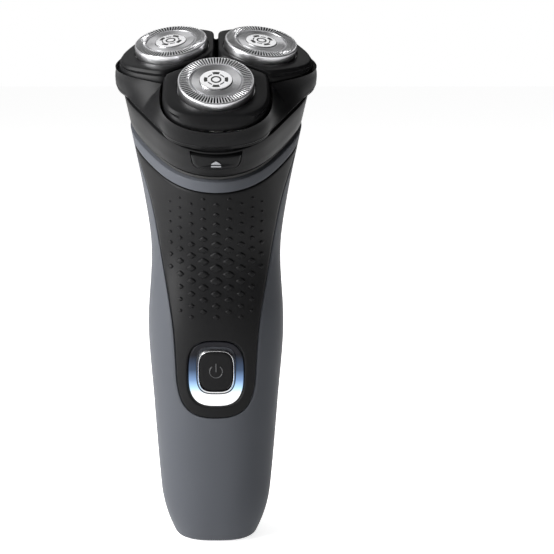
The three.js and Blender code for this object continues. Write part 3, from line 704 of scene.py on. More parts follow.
def front_shell_rows():
    def seam_at(height):
        return seam_angle(height, SEAM_Y - GAP / 2)

    def edge_at(height):
        return panel_edge(height, GAP)

    rows = []
    for height in low_heights():
        is_panelled = height > PANEL_BOTTOM_Z - GAP
        sunk = PANEL_THICKNESS + GAP if is_panelled else 0.0
        columns = front_columns(edge_at(height), seam_at(height), sunk, height)
        rows.append([handle_point(angle, height, inset) for angle, inset in columns])
    for t in steps(0, 1, 60)[1:]:
        edge = meets(edge_at, PATCH_TOP_Z, BAND_LOW_H, t)
        seam = meets(seam_at, PATCH_TOP_Z, BAND_LOW_H, t)
        columns = front_columns(edge, seam, PANEL_THICKNESS + GAP, COLLAR_Z)
        rows.append(risen_row(columns, BAND_LOW_H, t))
    wall, top = band_planes()
    for plane, rounding in wall + top:
        seam = meets(seam_at, PATCH_TOP_Z, plane, 1.0)
        columns = front_columns(edge, seam, rounding, COLLAR_Z)
        rows.append(plane_row(columns, plane, rounding if (plane, rounding) in top else 0.0))
    return rows


def rear_shell_rows():
    def seam_at(height):
        return seam_angle(height, SEAM_Y + GAP / 2)

    rows = []
    for height in low_heights():
        columns = rear_columns(seam_at(height), height)
        rows.append([handle_point(angle, height, inset) for angle, inset in columns])
    for t in steps(0, 1, 60)[1:]:
        seam = meets(seam_at, PATCH_TOP_Z, COLLAR_H - GAP, t)
        rows.append(risen_row(rear_columns(seam, COLLAR_Z), COLLAR_H - GAP, t))
    for plane, rounding in band_planes()[1]:
        seam = meets(seam_at, PATCH_TOP_Z, plane, 1.0)
        rows.append(plane_row(rear_columns(seam, COLLAR_Z), plane, rounding))
    return rows


def inner_rows(middle, y):
    """Rows of a shell's inside, from its floor to the collar."""
    rows = []
    for height in steps(FLOOR_THICKNESS, COLLAR_Z, 30):
        seam = solve(lambda angle: handle_point(angle, height, WALL).y - y, radians(-60), radians(80))
        rows.append([handle_point(lerp(middle, seam, t), height, WALL) for t in steps(0, 1, 20)])
    return rows


def shell_half(node, outside, inside):
    """A closed half shell from its rows outside and inside."""
    shape = Shape()
    outer = [shape.add(mirrored(row)) for row in outside]
    inner = [shape.add(mirrored(row)) for row in inside]
    shape.skin(outer)
    shape.skin(inner)
    shape.faces.append(tuple(outer[0]))
    shape.faces.append(tuple(inner[0]))
    shape.faces.append(tuple(outer[-1] + inner[-1][::-1]))
    rim = [row[-1] for row in outer[::-1]] + [row[0] for row in outer]
    shape.faces.append(tuple(rim + [row[0] for row in inner[::-1]] + [row[-1] for row in inner]))
    return fine(node, shape, "grey_shell", "handle")


def make_shells():
    shell_half("front_shell", front_shell_rows(), inner_rows(FRONT, SEAM_Y - GAP / 2))
    rear = shell_half("rear_shell", rear_shell_rows(), inner_rows(pi / 2, SEAM_Y + GAP / 2))
    low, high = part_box("charging_socket")
    middle = (low + high) / 2 / MM
    size = (high - low) / 2 / MM
    hole = Shape()
    outline = [(superellipse(a, size.x + GAP, size.y + GAP, 2.4), a) for a in around(64)]
    hole.loft([[(r * cos(a), middle.y + r * sin(a), z) for r, a in outline] for z in (-2, 8)], (True, True))
    carve(rear, [hole])


# ---------------------------------------------------------------- grip panel
# the panel's outer edge: how far inside its outline, and how deep
PANEL_LIP = ((0.3 * GAP, 0.3 * GAP), (0.0, GAP), (0.0, PANEL_THICKNESS))


def panel_columns(edge, height):
    """Columns of the panel's upper part as (angle, inset), from the middle to its edge."""
    lip = GAP / measure_at(height, 1)
    middle = [(lerp(FRONT, edge - lip, t), 0.0) for t in steps(0, 1, 22)]
    return middle + [(edge - 0.3 * lip, 0.3 * GAP), (edge, GAP), (edge, PANEL_THICKNESS)]


def panel_top(shape):
    """The panel above the button's patch, up to the plane under the band."""
    plane = COLLAR_H - BAND_HEIGHT
    rows = []
    for t in steps(0, 1, 64):
        edge = meets(panel_edge, PATCH_TOP_Z, plane - GAP, t)
        columns = panel_columns(edge, PATCH_TOP_Z if t == 0 else COLLAR_Z)
        rows.append(risen_row(columns, plane - GAP, t))
    rows += [plane_row(columns, plane - back, deep) for back, deep in PANEL_LIP]
    shape.skin([shape.add(mirrored(row)) for row in rows])


def patch_boundary():
    """The right half of the button patch's outside, as (x, z) with the outward direction.

    The direction is None on the patch's top line.
    """
    edge = panel_edge(PATCH_TOP_Z)
    line = []
    for angle, inset in panel_columns(edge, PATCH_TOP_Z):
        if inset == 0.0:
            line.append(((handle_point(angle, PATCH_TOP_Z).x, PATCH_TOP_Z), None))
    for z in steps(PATCH_TOP_Z, PANEL_SIDE[0][1], 10)[:-1]:
        line.append(((panel_half_width(z), z), (1.0, 0.0)))
    for t in steps(1, 0, 24):
        x, z = panel_end(t)
        ahead, behind = panel_end(min(t + 0.01, 1)), panel_end(max(t - 0.01, 0))
        along = Vector((ahead[0] - behind[0], ahead[1] - behind[1])).normalized()
        line.append(((x, z), (along.y, -along.x)))
    return line


def panel_patch(shape):
    """The panel round the button: rings that grow from the light ring's outline to the panel's."""
    boundary = patch_boundary()
    centre = Vector((0.0, RING_Z))
    inner, outer, outward = [], [], []
    for place, direction in boundary:
        place = Vector(place)
        ray = (place - centre).normalized()
        reach = superellipse(atan2(ray.y, ray.x), RING_SIZE[0] + GAP, RING_SIZE[1] + GAP, RING_POWER)
        inner.append((centre + ray * reach, ray))
        outer.append(place)
        outward.append(Vector(direction) if direction else None)
    rows = [[(start, PANEL_THICKNESS) for start, _ in inner]]
    for inwards, deep in LIP[::-1]:
        rows.append([(start + ray * inwards * GAP, deep * GAP) for start, ray in inner])
    for t in steps(0, 1, 12)[1:]:
        row = []
        for (start, ray), end, away in zip(inner, outer, outward):
            end = end - away * GAP if away else end
            row.append(((start + ray * GAP).lerp(end, t), 0.0))
        rows.append(row)
    for back, deep in PANEL_LIP:
        row = []
        for end, away in zip(outer, outward):
            row.append((end - away * back, deep) if away else (end, 0.0))
        rows.append(row)
    loops = []
    for row in rows:
        right = [on_front(place.x, place.y, inset) for place, inset in row]
        loops.append(shape.add(both_sides(right)))
    shape.skin(loops, closed=True)


BUMP_TOP_Z = 109.5
BUMP_MIDDLE_Z = 89.5
BUMP_LOW_Z = 73.0
BUMP_PITCH = 3.75
BUMP_ARC_R = 19.0
BUMP_ROW_STEP = 2.9
BUMP_SIZE = (1.75, 1.2)
BUMP_POWER = 1.25


def bump_places():
    """Places of the panel's bumps as (x, z, size): staggered rows, largest at the middle of the field."""
    places = []
    for column in range(-4, 5):
        x = BUMP_ARC_R * sin(column * BUMP_PITCH / BUMP_ARC_R)
        z = BUMP_TOP_Z + (1.5 if column % 2 else 0.0)
        lowest = BUMP_LOW_Z + 0.5 * abs(column)
        while z > lowest:
            swell = exp(-(((z - BUMP_MIDDLE_Z) / 12) ** 2))
            size = (0.42 + 0.78 * swell) * (1 - 0.11 * abs(column))
            if abs(x) + 2 * size + 0.6 < panel_half_width(z):
                places.append((x, z, size))
            z -= BUMP_ROW_STEP + swell
    return places


def panel_bumps(shape):
    """Raised diamonds with flat tops and sloping sides."""
    for x, z, size in bump_places():
        rings = []
        for scale, proud in ((1.0, -0.08), (0.95, 0.12), (0.72, 0.42), (0.62, 0.46)):
            ring = []
            for turn in around(20):
                reach = superellipse(turn, *(half * size * scale for half in BUMP_SIZE), BUMP_POWER)
                side_x = x + reach * cos(turn) * max(cos(asin(x / 21)), 0.5)
                ring.append(on_tilted_front(side_x, z + reach * sin(turn), -proud * (0.5 + 0.5 * size)))
            rings.append(ring)
        shape.loft(rings, caps=(False, True))


def make_panel():
    shape = Shape()
    panel_top(shape)
    panel_patch(shape)
    fine("grip_panel", shape, "black_grip", "handle", sharp=50)
    bumps = Shape()
    panel_bumps(bumps)
    make_piece("grip_bumps", bumps, MATERIALS["black_grip"], "handle", sharp=60)


# ---------------------------------------------------------------- power button and light ring


def plate_loop(size, centre_z, power, grow, inset):
    """A superellipse drawn on the handle's front at an inset."""
    loop = []
    for turn in around(96):
        reach = superellipse(turn, size[0] + grow, size[1] + grow, power)
        loop.append(on_front(reach * cos(turn), centre_z + reach * sin(turn), inset))
    return loop


def button_loops(profile):
    """The button's outline at each (growth, inset) of a profile."""
    return [plate_loop(BUTTON_SIZE, BUTTON_Z, BUTTON_POWER, grow, inset) for grow, inset in profile]


def make_light_ring():
    """A funnel between the panel's opening and the button's well."""
    shape = Shape()
    outline = [(0.0, 4.0), (0.0, 0.75), (-0.08, 0.55), (-0.3, 0.45)]
    rings = [plate_loop(RING_SIZE, RING_Z, RING_POWER, grow, inset) for grow, inset in outline]
    gap = 2 * GAP
    well = button_loops([(gap + 0.25, 0.85), (gap + 0.05, 0.95), (gap, 1.15), (gap, 4.0)])
    for t in (0.25, 0.5, 0.75):
        rings.append([a.lerp(b, t) for a, b in zip(rings[3], well[0])])
    rings += well
    shape.loft(rings, looped=True)
    fine("light_ring", shape, "light_diffuser", "handle", sharp=50)


def make_power_button():
    """A face with a slight dish and a rounded edge, on a skirt."""
    shape = Shape()
    face = [(-BEZEL_W, 3.4), (-BEZEL_W, 0.62), (-BEZEL_W - 0.08, 0.42), (-BEZEL_W - 0.3, 0.33)]
    rings = button_loops(face)
    middle = on_front(0, BUTTON_Z, 0.48)
    for t in (0.15, 0.35, 0.55, 0.75, 0.92, 0.99):
        dish = 0.15 * t * t
        rings.append([point.lerp(middle - Vector((0, dish, 0)), t) for point in rings[3]])
    shape.loft(rings, caps=(True, True))
    shape.loft(button_loops([(0, 3.6), (0, 2.2), (-1.5, 2.2), (-1.5, 3.6)]), looped=True)
    fine("power_button", shape, "black_satin", "power_button", sharp=50)


def make_bezel():
    """The bevelled bright rim: its slope faces away from the button's middle."""
    profile = [(-0.05, 1.9), (-0.05, 0.85), (-0.1, 0.74), (-BEZEL_W + 0.36, 0.16), (-BEZEL_W + 0.3, 0.1),
               (-BEZEL_W + 0.24, 0.14), (-BEZEL_W + 0.22, 1.9)]
    shape = Shape()
    shape.loft(button_loops(profile), looped=True)
    fine("button_bezel", shape, "silver_trim", "power_button", sharp=50)


def make_power_symbol():
    """A raised ring, open at its top, with an upright stroke."""
    radius = 1.95
    stroke = 0.14
    opening = radians(38)
    shape = Shape()
    arc = steps(pi / 2 + opening, 5 * pi / 2 - opening, 40)
    shape.tube([on_front(radius * cos(a), BUTTON_Z + radius * sin(a), 0.42) for a in arc], stroke)
    shape.tube([on_front(0, BUTTON_Z + h, 0.42) for h in steps(-0.1, radius + 0.55, 6)], stroke)
    make_piece("power_symbol", shape, MATERIALS["symbol_grey"], "power_button", slot="black_satin")


# ---------------------------------------------------------------- hair chamber


def triangle_ring(mean, swell, height, count=144):
    return [polar(mean + swell * sin(3 * angle), angle, height) for angle in around(count)]


def chamber_measures(height):
    """Mean radius and swell of the chamber's outside."""
    t = (height - CHAMBER_BOTTOM_H) / (CHAMBER_TOP_H - CHAMBER_BOTTOM_H)
    mean = lerp(CHAMBER_BOTTOM_MEAN, CHAMBER_TOP_MEAN, t)
    return mean, lerp(CHAMBER_BOTTOM_SWELL, CHAMBER_TOP_SWELL, t)


def chamber_ring(inset, height):
    mean, swell = chamber_measures(height)
    return triangle_ring(mean - inset, swell, height)


def across(radius, low, high, sides=32):
    """A cylinder along X on the hinge's axis."""
    shape = Shape()
    ends = [(low, radius - 0.12), (low + 0.12, radius), (high - 0.12, radius), (high, radius - 0.12)]
    rings = [[(x, HINGE_V + r * cos(a), HINGE_H + r * sin(a)) for a in around(sides)] for x, r in ends]
    shape.loft(rings, caps=(True, True))
    return shape


def make_chamber():
    """A cup whose wall is set back in a neck at its top and bottom, with a hole for each spindle."""
    shape = Shape()
    profile = [
        (CHAMBER_NECK, CHAMBER_BOTTOM_H), (CHAMBER_NECK, CHAMBER_BOTTOM_H + 0.75),
        (CHAMBER_NECK - 0.08, CHAMBER_BOTTOM_H + 0.83),
        (0.3, CHAMBER_BOTTOM_H + 0.85), (0.08, CHAMBER_BOTTOM_H + 0.93), (0.0, CHAMBER_BOTTOM_H + 1.15),
        (0.0, -21.0), (0.0, -18.0), (0.0, CHAMBER_TOP_H - 1.5), (0.1, CHAMBER_TOP_H - 1.2),
        (0.35, CHAMBER_TOP_H - 1.1), (CHAMBER_NECK - 0.08, CHAMBER_TOP_H - 1.05),
        (CHAMBER_NECK, CHAMBER_TOP_H - 0.95), (CHAMBER_NECK, CHAMBER_TOP_H),
        (CHAMBER_WALL - 0.2, CHAMBER_TOP_H), (CHAMBER_WALL, CHAMBER_TOP_H - 0.2),
        (CHAMBER_WALL, FLOOR_TOP_H + 0.8), (CHAMBER_WALL + 0.25, FLOOR_TOP_H + 0.25),
        (CHAMBER_WALL + 0.8, FLOOR_TOP_H),
    ]
    rings = [chamber_ring(inset, height) for inset, height in profile]
    under = [chamber_ring(CHAMBER_WALL, height) for height in (FLOOR_BOTTOM_H, CHAMBER_BOTTOM_H)]
    rows = [shape.add(ring) for ring in rings]
    shape.skin(rows, closed=True)
    shape.faces.append(tuple(rows[-1]))
    lower = [shape.add(ring) for ring in under]
    shape.skin(lower, closed=True)
    shape.skin([lower[1], rows[0]], closed=True)
    shape.faces.append(tuple(lower[0]))
    chamber = fine("hair_chamber", shape, "black_satin", "handle", place=HEAD)
    holes = [cylinder(SPINDLE_HOLE_R, -30, -20, *spindle_xy(i)) for i in range(3)]
    window = Shape()
    right = []
    for x, height in release_outline(-GAP):
        right.append((x, height + TOP_SHADOW if height > RELEASE_HIGH_H else height))
    outline = right + [(-x, height) for x, height in right[-2:0:-1]]
    window.loft([[(x, v, height) for x, height in outline] for v in (-33, -24)], caps=(True, True))
    holes.append(window)
    carve(chamber, holes)


def make_hinge():
    """The chamber's two ears and the frame's knuckle, on one pin."""
    ears = Shape()
    for side in (-1, 1):
        ear = across(HINGE_KNUCKLE_R, min(5.3 * side, 8.3 * side), max(5.3 * side, 8.3 * side))
        foot = block(3, 3.2, 3.2, side * 6.8, HINGE_V - 1.1, HINGE_H - 1.8)
        ears.join(ear)
        ears.join(foot)
    make_piece("hinge_ears", ears, MATERIALS["black_satin"], "handle", place=HEAD)
    knuckle = across(HINGE_KNUCKLE_R - 0.25, -5, 5)
    knuckle.join(block(9.6, 2.4, 1.3, 0, HINGE_V - 1.8, HINGE_H + 1.3))
    make_piece("hinge_knuckle", knuckle, MATERIALS["black_satin"], "shaving_head", place=HEAD)


def make_gasket():
    """A rubber band between the chamber and the shells."""
    shape = Shape()
    high, low = CHAMBER_BOTTOM_H - GAP, COLLAR_H + GAP
    profile = [(0.9, low), (0.9, high), (2.1, high), (2.1, low)]
    rings = [triangle_ring(CHAMBER_BOTTOM_MEAN - inset, CHAMBER_BOTTOM_SWELL, h) for inset, h in profile]
    shape.loft(rings, looped=True)
    fine("chamber_gasket", shape, "black_rubber", "handle", place=HEAD)


def release_outline(shrink, count=10):
    """Right half of the release button's outline as (x, height), from its top middle to its bottom middle."""
    half = RELEASE_W / 2 - shrink
    high, low = RELEASE_HIGH_H - shrink, RELEASE_LOW_H + shrink
    line = [(half * t, high) for t in steps(0, 1, count)]
    line += [(half - 0.5 * t, lerp(high, low + 1.8, t)) for t in steps(0, 1, 6)[1:]]
    for t in steps(0, 1, 8)[1:]:
        x = (1 - t) ** 2 * (half - 0.5) + 2 * t * (1 - t) * (half - 0.9) + t * t * (half - 2.6)
        line.append((x, low + 1.8 * (1 - t) ** 2))
    return line + [((half - 2.6) * (1 - t), low) for t in steps(0, 1, count)[1:]]


def on_chamber(x, height, inset):
    """The chamber's front wall at this x and height."""
    mean, swell = chamber_measures(height)

    def radius(angle):
        return mean - inset + swell * sin(3 * angle)

    angle = solve(lambda a: radius(a) * cos(a) - abs(x), FRONT, radians(-40))
    return Vector((x, radius(angle) * sin(angle), height))


def make_release_button():
    """A trapezoid plate with a bevelled edge and an eject symbol on it."""
    shape = Shape()
    rows = []
    for shrink, inset in ((0.0, 1.6), (0.0, -0.35), (0.08, -0.55), (0.3, -0.72), (1.0, -0.75)):
        right = [on_chamber(x, height, inset) for x, height in release_outline(shrink)]
        rows.append(shape.add(both_sides(right)))
    shape.skin(rows, closed=True)
    shape.faces.append(tuple(rows[-1]))
    shape.faces.append(tuple(rows[0]))
    fine("release_button", shape, "black_satin", "release_button", place=HEAD, sharp=50)
    symbol = Shape()
    middle = (RELEASE_LOW_H + RELEASE_HIGH_H) / 2
    marks = (
        [(-1.4, middle - 0.15), (1.4, middle - 0.15), (0, middle + 1.15)],
        [(-1.4, middle - 1.2), (1.4, middle - 1.2), (1.4, middle - 0.68), (-1.4, middle - 0.68)],
    )
    for corners in marks:
        rings = [[on_chamber(x, height, inset) for x, height in corners] for inset in (-0.65, -0.81)]
        symbol.loft(rings, caps=(True, True))
    make_piece("eject_symbol", symbol, MATERIALS["print_grey"], "release_button", place=HEAD,
               slot="black_satin")


# ---------------------------------------------------------------- shaving head


def lobes_reach(angle):
    """Distance from the head's axis to the outside of the lobes' base, in one direction."""
    third = 2 * pi / 3
    from_lobe = (angle - FRONT + third / 2) % third - third / 2
    reach = 8.0
    for _ in range(24):
        x = reach * sin(from_lobe)
        y = reach * cos(from_lobe) - LOBE_RADIUS - LOBE_BOTTOM * sin(LOBE_LEAN)
        limit = superellipse(atan2(y, x), *LOBE_BASE, LOBE_POWER)
        reach += 0.5 * (limit - hypot(x, y))
    return reach


def soft_greatest(a, b, power=60):
    """The larger of two lengths, with the corner between them rounded."""
    return (a**power + b**power) ** (1 / power)


def make_head_frame():
    """The hoop round the lobes: it rises between them and turns under in a ridge all round."""
    rows = [[] for _ in range(13)]
    for angle in around(240):
        edge = lobes_reach(angle) + FRAME_GAP
        rim = soft_greatest(RIM_MEAN + RIM_SWELL * sin(3 * angle), edge + 0.5)
        between = (1 - sin(3 * angle)) / 2
        edge_h = lerp(EDGE_H_AT_LOBES, EDGE_H_BETWEEN, between**0.7)
        profile = [
            (edge, FRAME_BOTTOM_H), (max(rim - 1.7, edge + 0.2), FRAME_BOTTOM_H), (rim - 0.3, RIM_H - 0.22),
            (rim - 0.08, RIM_H - 0.08), (rim, RIM_H + 0.05), (rim - 0.06, RIM_H + 0.25),
        ]
        for t in (0.15, 0.35, 0.58, 0.8):
            bulge = 0.25 * sin(pi * t)
            profile.append((lerp(rim, edge, t) + bulge, lerp(RIM_H, edge_h, t) + bulge))
        profile += [(edge + 0.35, edge_h - 0.02), (edge + 0.1, edge_h - 0.1), (edge, edge_h - 0.35)]
        for row, (radius, height) in zip(rows, profile):
            row.append(polar(radius, angle, height))
    shape = Shape()
    shape.loft(rows, looped=True)
    fine("head_frame", shape, "black_satin", "shaving_head", place=HEAD, sharp=40)


def make_holder():
    """The plate that keeps the cutters in the head, with its knob."""
    shape = Shape()
    rings = []
    for grow, height in ((-0.3, -12.6), (0, -12.4), (0, -11.6), (-0.3, -11.4)):
        inset = HOLDER_INSET - grow
        rings.append([polar(lobes_reach(angle) - inset, angle, height) for angle in around(144)])
    shape.loft(rings, caps=(True, True))
    holder = fine("cutter_holder", shape, "white_plastic", "shaving_head", place=HEAD)
    carve(holder, [cylinder(CUTTER_R + 0.4, -20, -6, *spindle_xy(i), 64) for i in range(3)])
    knob = Shape()
    knob.revolve([(0, -14.6), (2.8, -14.6), (3.2, -14.2), (3.2, -11.5), (0, -11.5)], 48)
    make_piece("holder_knob", knob, MATERIALS["white_plastic"], "shaving_head", place=HEAD)


def lobe_limit(index, angle, height, gap):
    """How far a lobe may reach in one direction before it meets the groove beside it."""
    place = INTO_HEAD @ lobe_place(index)
    start = place @ Vector((0, 0, height))
    along = place.to_3x3() @ Vector((cos(angle), sin(angle), 0))
    limit = 60.0
    for side in (-1, 1):
        plane = lobe_angle(index) + side * pi / 3
        normal = Vector((-sin(plane), cos(plane), 0)) * -side
        toward = normal.dot(along)
        if toward < -1e-6:
            limit = min(limit, (normal.dot(start) - gap) / -toward)
    return limit


def soft_least(a, b, power=34):
    """The smaller of two lengths, with the corner between them rounded."""
    return (a**-power + b**-power) ** (-1 / power)


def make_lobe(index):
    """A rounded block with a shoulder, a deck, and an opening for its guard."""
    levels = [
        (LOBE_BASE, 0.0, LOBE_BOTTOM, 0.0), (LOBE_BASE, 0.12, LOBE_BOTTOM + 0.7, 0.0),
        (LOBE_BASE, 0.35, LOBE_BOTTOM + 1.45, 0.0), (LOBE_BASE, 0.62, LOBE_BOTTOM + 1.85, 0.05),
        (LOBE_DECK, -0.45, LOBE_DECK_TOP - 0.85, 0.1), (LOBE_DECK, -0.1, LOBE_DECK_TOP - 0.42, 0.15),
        (LOBE_DECK, 0.1, LOBE_DECK_TOP - 0.14, 0.35), (LOBE_DECK, 0.5, LOBE_DECK_TOP, 0.65),
    ]
    turn = around(160)
    rings = []
    for (half_width, half_depth), inset, height, back in levels:
        ring = []
        for angle in turn:
            power = LOBE_POWER if half_width == LOBE_BASE[0] else DECK_POWER
            reach = superellipse(angle, half_width - inset, half_depth - inset, power)
            reach = soft_least(reach, lobe_limit(index, angle, height, LOBE_GAP + back))
            ring.append(polar(reach, angle, height))
        rings.append(ring)
    opening = [(0.55, LOBE_DECK_TOP), (0.32, LOBE_DECK_TOP - 0.08), (0.2, LOBE_DECK_TOP - 0.3),
               (0.2, -2.85), (0.98, -2.9), (0.98, LOBE_BOTTOM)]
    rings += [ring_of(GUARD_R + grow, height, len(turn)) for grow, height in opening]
    shape = Shape()
    shape.loft(rings, looped=True)
    lobe = f"lobe_{PLACES[index]}"
    fine(lobe, shape, "black_satin", lobe, place=lobe_place(index), sharp=36)


SLOTS = 72
PLATE_R = 6.9
TRACK_R = 7.5
TURNED_STEPS = 7
STEP_DEPTH = 0.07
GROOVE_DEPTH = 0.6
RIM_ROUNDING = 0.45
GUARD_SHEET = 0.12


def guard_surface(radius):
    """Height of the guard's outer surface at a radius: a polished rim, a slotted track, a groove, a plate."""
    if radius > GUARD_R - RIM_ROUNDING:
        t = (radius - (GUARD_R - RIM_ROUNDING)) / RIM_ROUNDING
        return -RIM_ROUNDING * (1 - sqrt(max(1 - t * t, 0)))
    if PLATE_R < radius < TRACK_R:
        return -GROOVE_DEPTH * sin(pi * (radius - PLATE_R) / (TRACK_R - PLATE_R)) ** 0.6
    if radius <= PLATE_R:
        return -0.02 - 0.16 * (1 - (radius / PLATE_R) ** 2)
    return 0.0


def make_guard(index):
    """A thin cap with turned steps in its plate, a groove, radial slots, and a skirt with a flange."""
    node = f"guard_{PLACES[index]}"
    shape = Shape()
    columns = SLOTS * 4
    groove = [PLATE_R + (TRACK_R - PLATE_R) * t for t in (0.12, 0.3, 0.5, 0.7, 0.88, 1.0)]
    track = [7.65, 8.7, 9.6, GUARD_R - RIM_ROUNDING]
    rim = [GUARD_R - 0.3, GUARD_R - 0.15, GUARD_R - 0.05, GUARD_R]
    plate = []
    for radius in steps(DISC_R + 0.12, PLATE_R, 2 * TURNED_STEPS):
        plate.append((radius, guard_surface(radius) - STEP_DEPTH * (len(plate) % 2)))
    slotted = {len(plate) + len(groove) + i for i in range(3)}
    profile = plate + [(radius, guard_surface(radius)) for radius in groove + track + rim]
    profile += [(GUARD_R, -1.6), (GUARD_R, -GUARD_SKIRT + 0.45), (GUARD_R + 0.55, -GUARD_SKIRT + 0.4),
                (GUARD_R + 0.55, -GUARD_SKIRT + 0.1)]
    rows = [shape.add(ring_of(radius, height, columns)) for radius, height in profile]
    for level, (low, high) in enumerate(zip(rows, rows[1:])):
        for i in range(columns):
            j = (i + 1) % columns
            if level in slotted and i % 4 in (1, 2):
                continue
            shape.faces.append((low[i], low[j], high[j], high[i]))
    guard = fine(node, shape, "guard_steel", node, place=lobe_place(index), sharp=30)
    sheet = guard.modifiers.new("thickness", "SOLIDIFY")
    sheet.thickness = GUARD_SHEET * MM
    sheet.offset = -1


def make_disc(index):
    """The bright centre disc with four short bars and four arcs round a small ring."""
    place = PLACES[index]
    disc = Shape()
    disc.revolve([(0, -0.3), (DISC_R, -0.3), (DISC_R, 0.02), (DISC_R - 0.1, 0.12), (DISC_R - 0.3, 0.16),
                  (DISC_R - 0.9, 0.18), (0, 0.18)], 96)
    fine(f"guard_disc_{place}", disc, "silver_trim", f"guard_{place}", place=lobe_place(index), sharp=40)
    marks = Shape()
    for quarter in range(4):
        middle = quarter * pi / 2
        for start, end, low, high in ((-18, 18, 2.45, 3.4), (27, 63, 2.3, 2.6)):
            arc = [middle + radians(a) for a in steps(start, end, 8)]
            rings = []
            for height in (0.16, 0.23):
                inner = [polar(low, angle, height) for angle in arc]
                rings.append(inner + [polar(high, angle, height) for angle in arc[::-1]])
            marks.loft(rings, caps=(True, True))
    profile = [(1.05, 0.16), (1.05, 0.23), (1.5, 0.23), (1.5, 0.16)]
    marks.loft([ring_of(radius, height, 48) for radius, height in profile], looped=True)
    make_piece(f"disc_marks_{place}", marks, MATERIALS["black_rubber"], f"guard_{place}",
               place=lobe_place(index))


def make_cutter(index):
    """A spider with upright blades that run under the guard's track."""
    node = f"cutter_{PLACES[index]}"
    shape = Shape()
    shape.revolve([(0, -2.7), (2, -2.9), (3.3, -5.4), (4, -5.4), (3.6, -3.3), (CUTTER_R - 0.4, -3.3),
                   (CUTTER_R, -2.9), (CUTTER_R, -2.3), (CUTTER_R - 1.7, -2.1), (0, -2.1)], 72)
    for blade in range(15):
        angle = 2 * pi * blade / 15
        out = Vector((cos(angle), sin(angle), 0))
        side = Vector((-sin(angle), cos(angle), 0))
        rings = []
        for height, shift in ((-2.4, 0.0), (-0.55, 0.35)):
            ring = [out * r + side * (s + shift) + Vector((0, 0, height))
                    for r, s in ((7.7, -0.3), (CUTTER_R, -0.3), (CUTTER_R, 0.3), (7.7, 0.3))]
            rings.append(ring)
        shape.loft(rings, caps=(True, True))
    fine(node, shape, "dark_steel", node, place=lobe_place(index), slot="steel")


def make_drive(index):
    """A spindle with a round collar and its coil spring."""
    place = PLACES[index]
    tip = -JOINT_DEPTH
    spindle = Shape()
    spindle.revolve([(0, tip - 5.8), (1.2, tip - 5.8), (1.2, -23.2), (2.1, -23.2), (2.1, tip - 5.7),
                     (1.85, tip - 5.3), (1.5, tip - 4), (1.1, tip - 1.2), (1.45, tip - 0.5), (1.6, tip),
                     (1.4, tip + 0.5), (0.9, tip + 0.85), (0, tip + 0.9)], 48)
    fine(f"drive_spindle_{place}", spindle, "white_plastic", f"drive_{place}", place=spindle_place(index))
    spring = Shape()
    path = [(0.75 * cos(a), 0.75 * sin(a), lerp(-16.4, -11.2, a / (12 * pi))) for a in steps(0, 12 * pi, 144)]
    spring.tube(path, 0.14, 6)
    fine(f"spindle_spring_{place}", spring, "steel", f"drive_{place}", place=spindle_place(index))


# ---------------------------------------------------------------- light, floor and camera, in metres
FLOOR_REACH = 6.0
FLOOR_Z = -0.0005
CAMERA_PLACE = (0.0, -0.3436, 0.15025)
CAMERA_TARGET = (0.0, 0.0, 0.08347)
CAMERA_LENS = 72.95
CAMERA_SHIFT = 0.110


def make_world():
    """A white surround for the camera, and for the light a dimmer one that is brighter from the left."""
    world = bpy.data.worlds.new("studio")
    bpy.context.scene.world = world
    world.use_nodes = True
    nodes, links = world.node_tree.nodes, world.node_tree.links
    nodes.clear()
    out = nodes.new("ShaderNodeOutputWorld")
    both = nodes.new("ShaderNodeMixShader")
    seen = nodes.new("ShaderNodeBackground")
    lit = nodes.new("ShaderNodeBackground")
    seen.inputs["Color"].default_value = (1, 1, 1, 1)
    seen.inputs["Strength"].default_value = 1.0
    rays = nodes.new("ShaderNodeLightPath")
    direction = nodes.new("ShaderNodeTexCoord")
    split = nodes.new("ShaderNodeSeparateXYZ")
    side = nodes.new("ShaderNodeMapRange")
    side.interpolation_type = "SMOOTHSTEP"
    side.inputs["From Min"].default_value = 0.9
    side.inputs["From Max"].default_value = -0.9
    side.inputs["To Min"].default_value = 0.03
    side.inputs["To Max"].default_value = 0.45
    links.new(direction.outputs["Generated"], split.inputs["Vector"])
    links.new(split.outputs["X"], side.inputs["Value"])
    links.new(side.outputs["Result"], lit.inputs["Strength"])
    links.new(rays.outputs["Is Camera Ray"], both.inputs["Fac"])
    links.new(lit.outputs["Background"], both.inputs[1])
    links.new(seen.outputs["Background"], both.inputs[2])
    links.new(both.outputs["Shader"], out.inputs["Surface"])


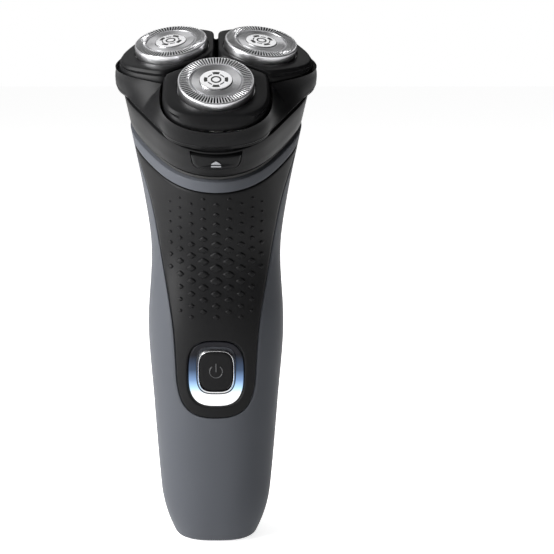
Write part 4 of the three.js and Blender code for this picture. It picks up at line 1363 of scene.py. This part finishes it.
def aim(thing, place, target):
    """Puts a lamp or camera at a place, pointing at a target."""
    thing.location = place
    thing.rotation_euler = (Vector(target) - Vector(place)).to_track_quat("-Z", "Y").to_euler()


def make_light(name, place, target, width, height, power):
    lamp = bpy.data.lights.new(name, "AREA")
    lamp.shape = "RECTANGLE"
    lamp.size = width
    lamp.size_y = height
    lamp.energy = power
    aim(put_in_scene(name, lamp), place, target)


def make_floor():
    """A large pale floor under the handle's base, faintly lit so that it comes out white."""
    corners = [(x * FLOOR_REACH, y * FLOOR_REACH, FLOOR_Z) for x, y in ((-1, -1), (1, -1), (1, 1), (-1, 1))]
    mesh = bpy.data.meshes.new("floor")
    mesh.from_pydata(corners, [], [(0, 1, 2, 3)])
    floor = put_in_scene("floor", mesh)
    paint = moulded("floor_paint", (0.8, 0.8, 0.8), 0.8, grain=60.0, patchiness=0.01, specular=0.0)
    shader = paint.node_tree.nodes["Principled BSDF"]
    shader.inputs["Emission Color"].default_value = (1, 1, 1, 1)
    shader.inputs["Emission Strength"].default_value = 0.82
    mesh.materials.append(paint)


def make_camera():
    data = bpy.data.cameras.new("camera")
    data.lens = CAMERA_LENS
    data.sensor_width = 36.0
    data.shift_x = CAMERA_SHIFT
    data.clip_start = 0.02
    camera = put_in_scene("camera", data)
    aim(camera, CAMERA_PLACE, CAMERA_TARGET)
    bpy.context.scene.camera = camera


# ---------------------------------------------------------------- the whole scene
dress_cad_nodes()
make_shells()
make_panel()
make_light_ring()
make_power_button()
make_bezel()
make_power_symbol()
make_chamber()
make_hinge()
make_gasket()
make_release_button()
make_head_frame()
make_holder()
for lobe_index in range(3):
    make_lobe(lobe_index)
    make_guard(lobe_index)
    make_disc(lobe_index)
    make_cutter(lobe_index)
    make_drive(lobe_index)

bpy.context.scene.view_settings.view_transform = "Standard"
make_world()
make_floor()
make_light("key", (-0.78, -0.36, 0.34), (0, 0, 0.09), 0.5, 0.9, 28)
make_light("top", (-0.05, 0.30, 0.80), (0, 0, 0.15), 0.9, 0.6, 1.8)
make_camera()
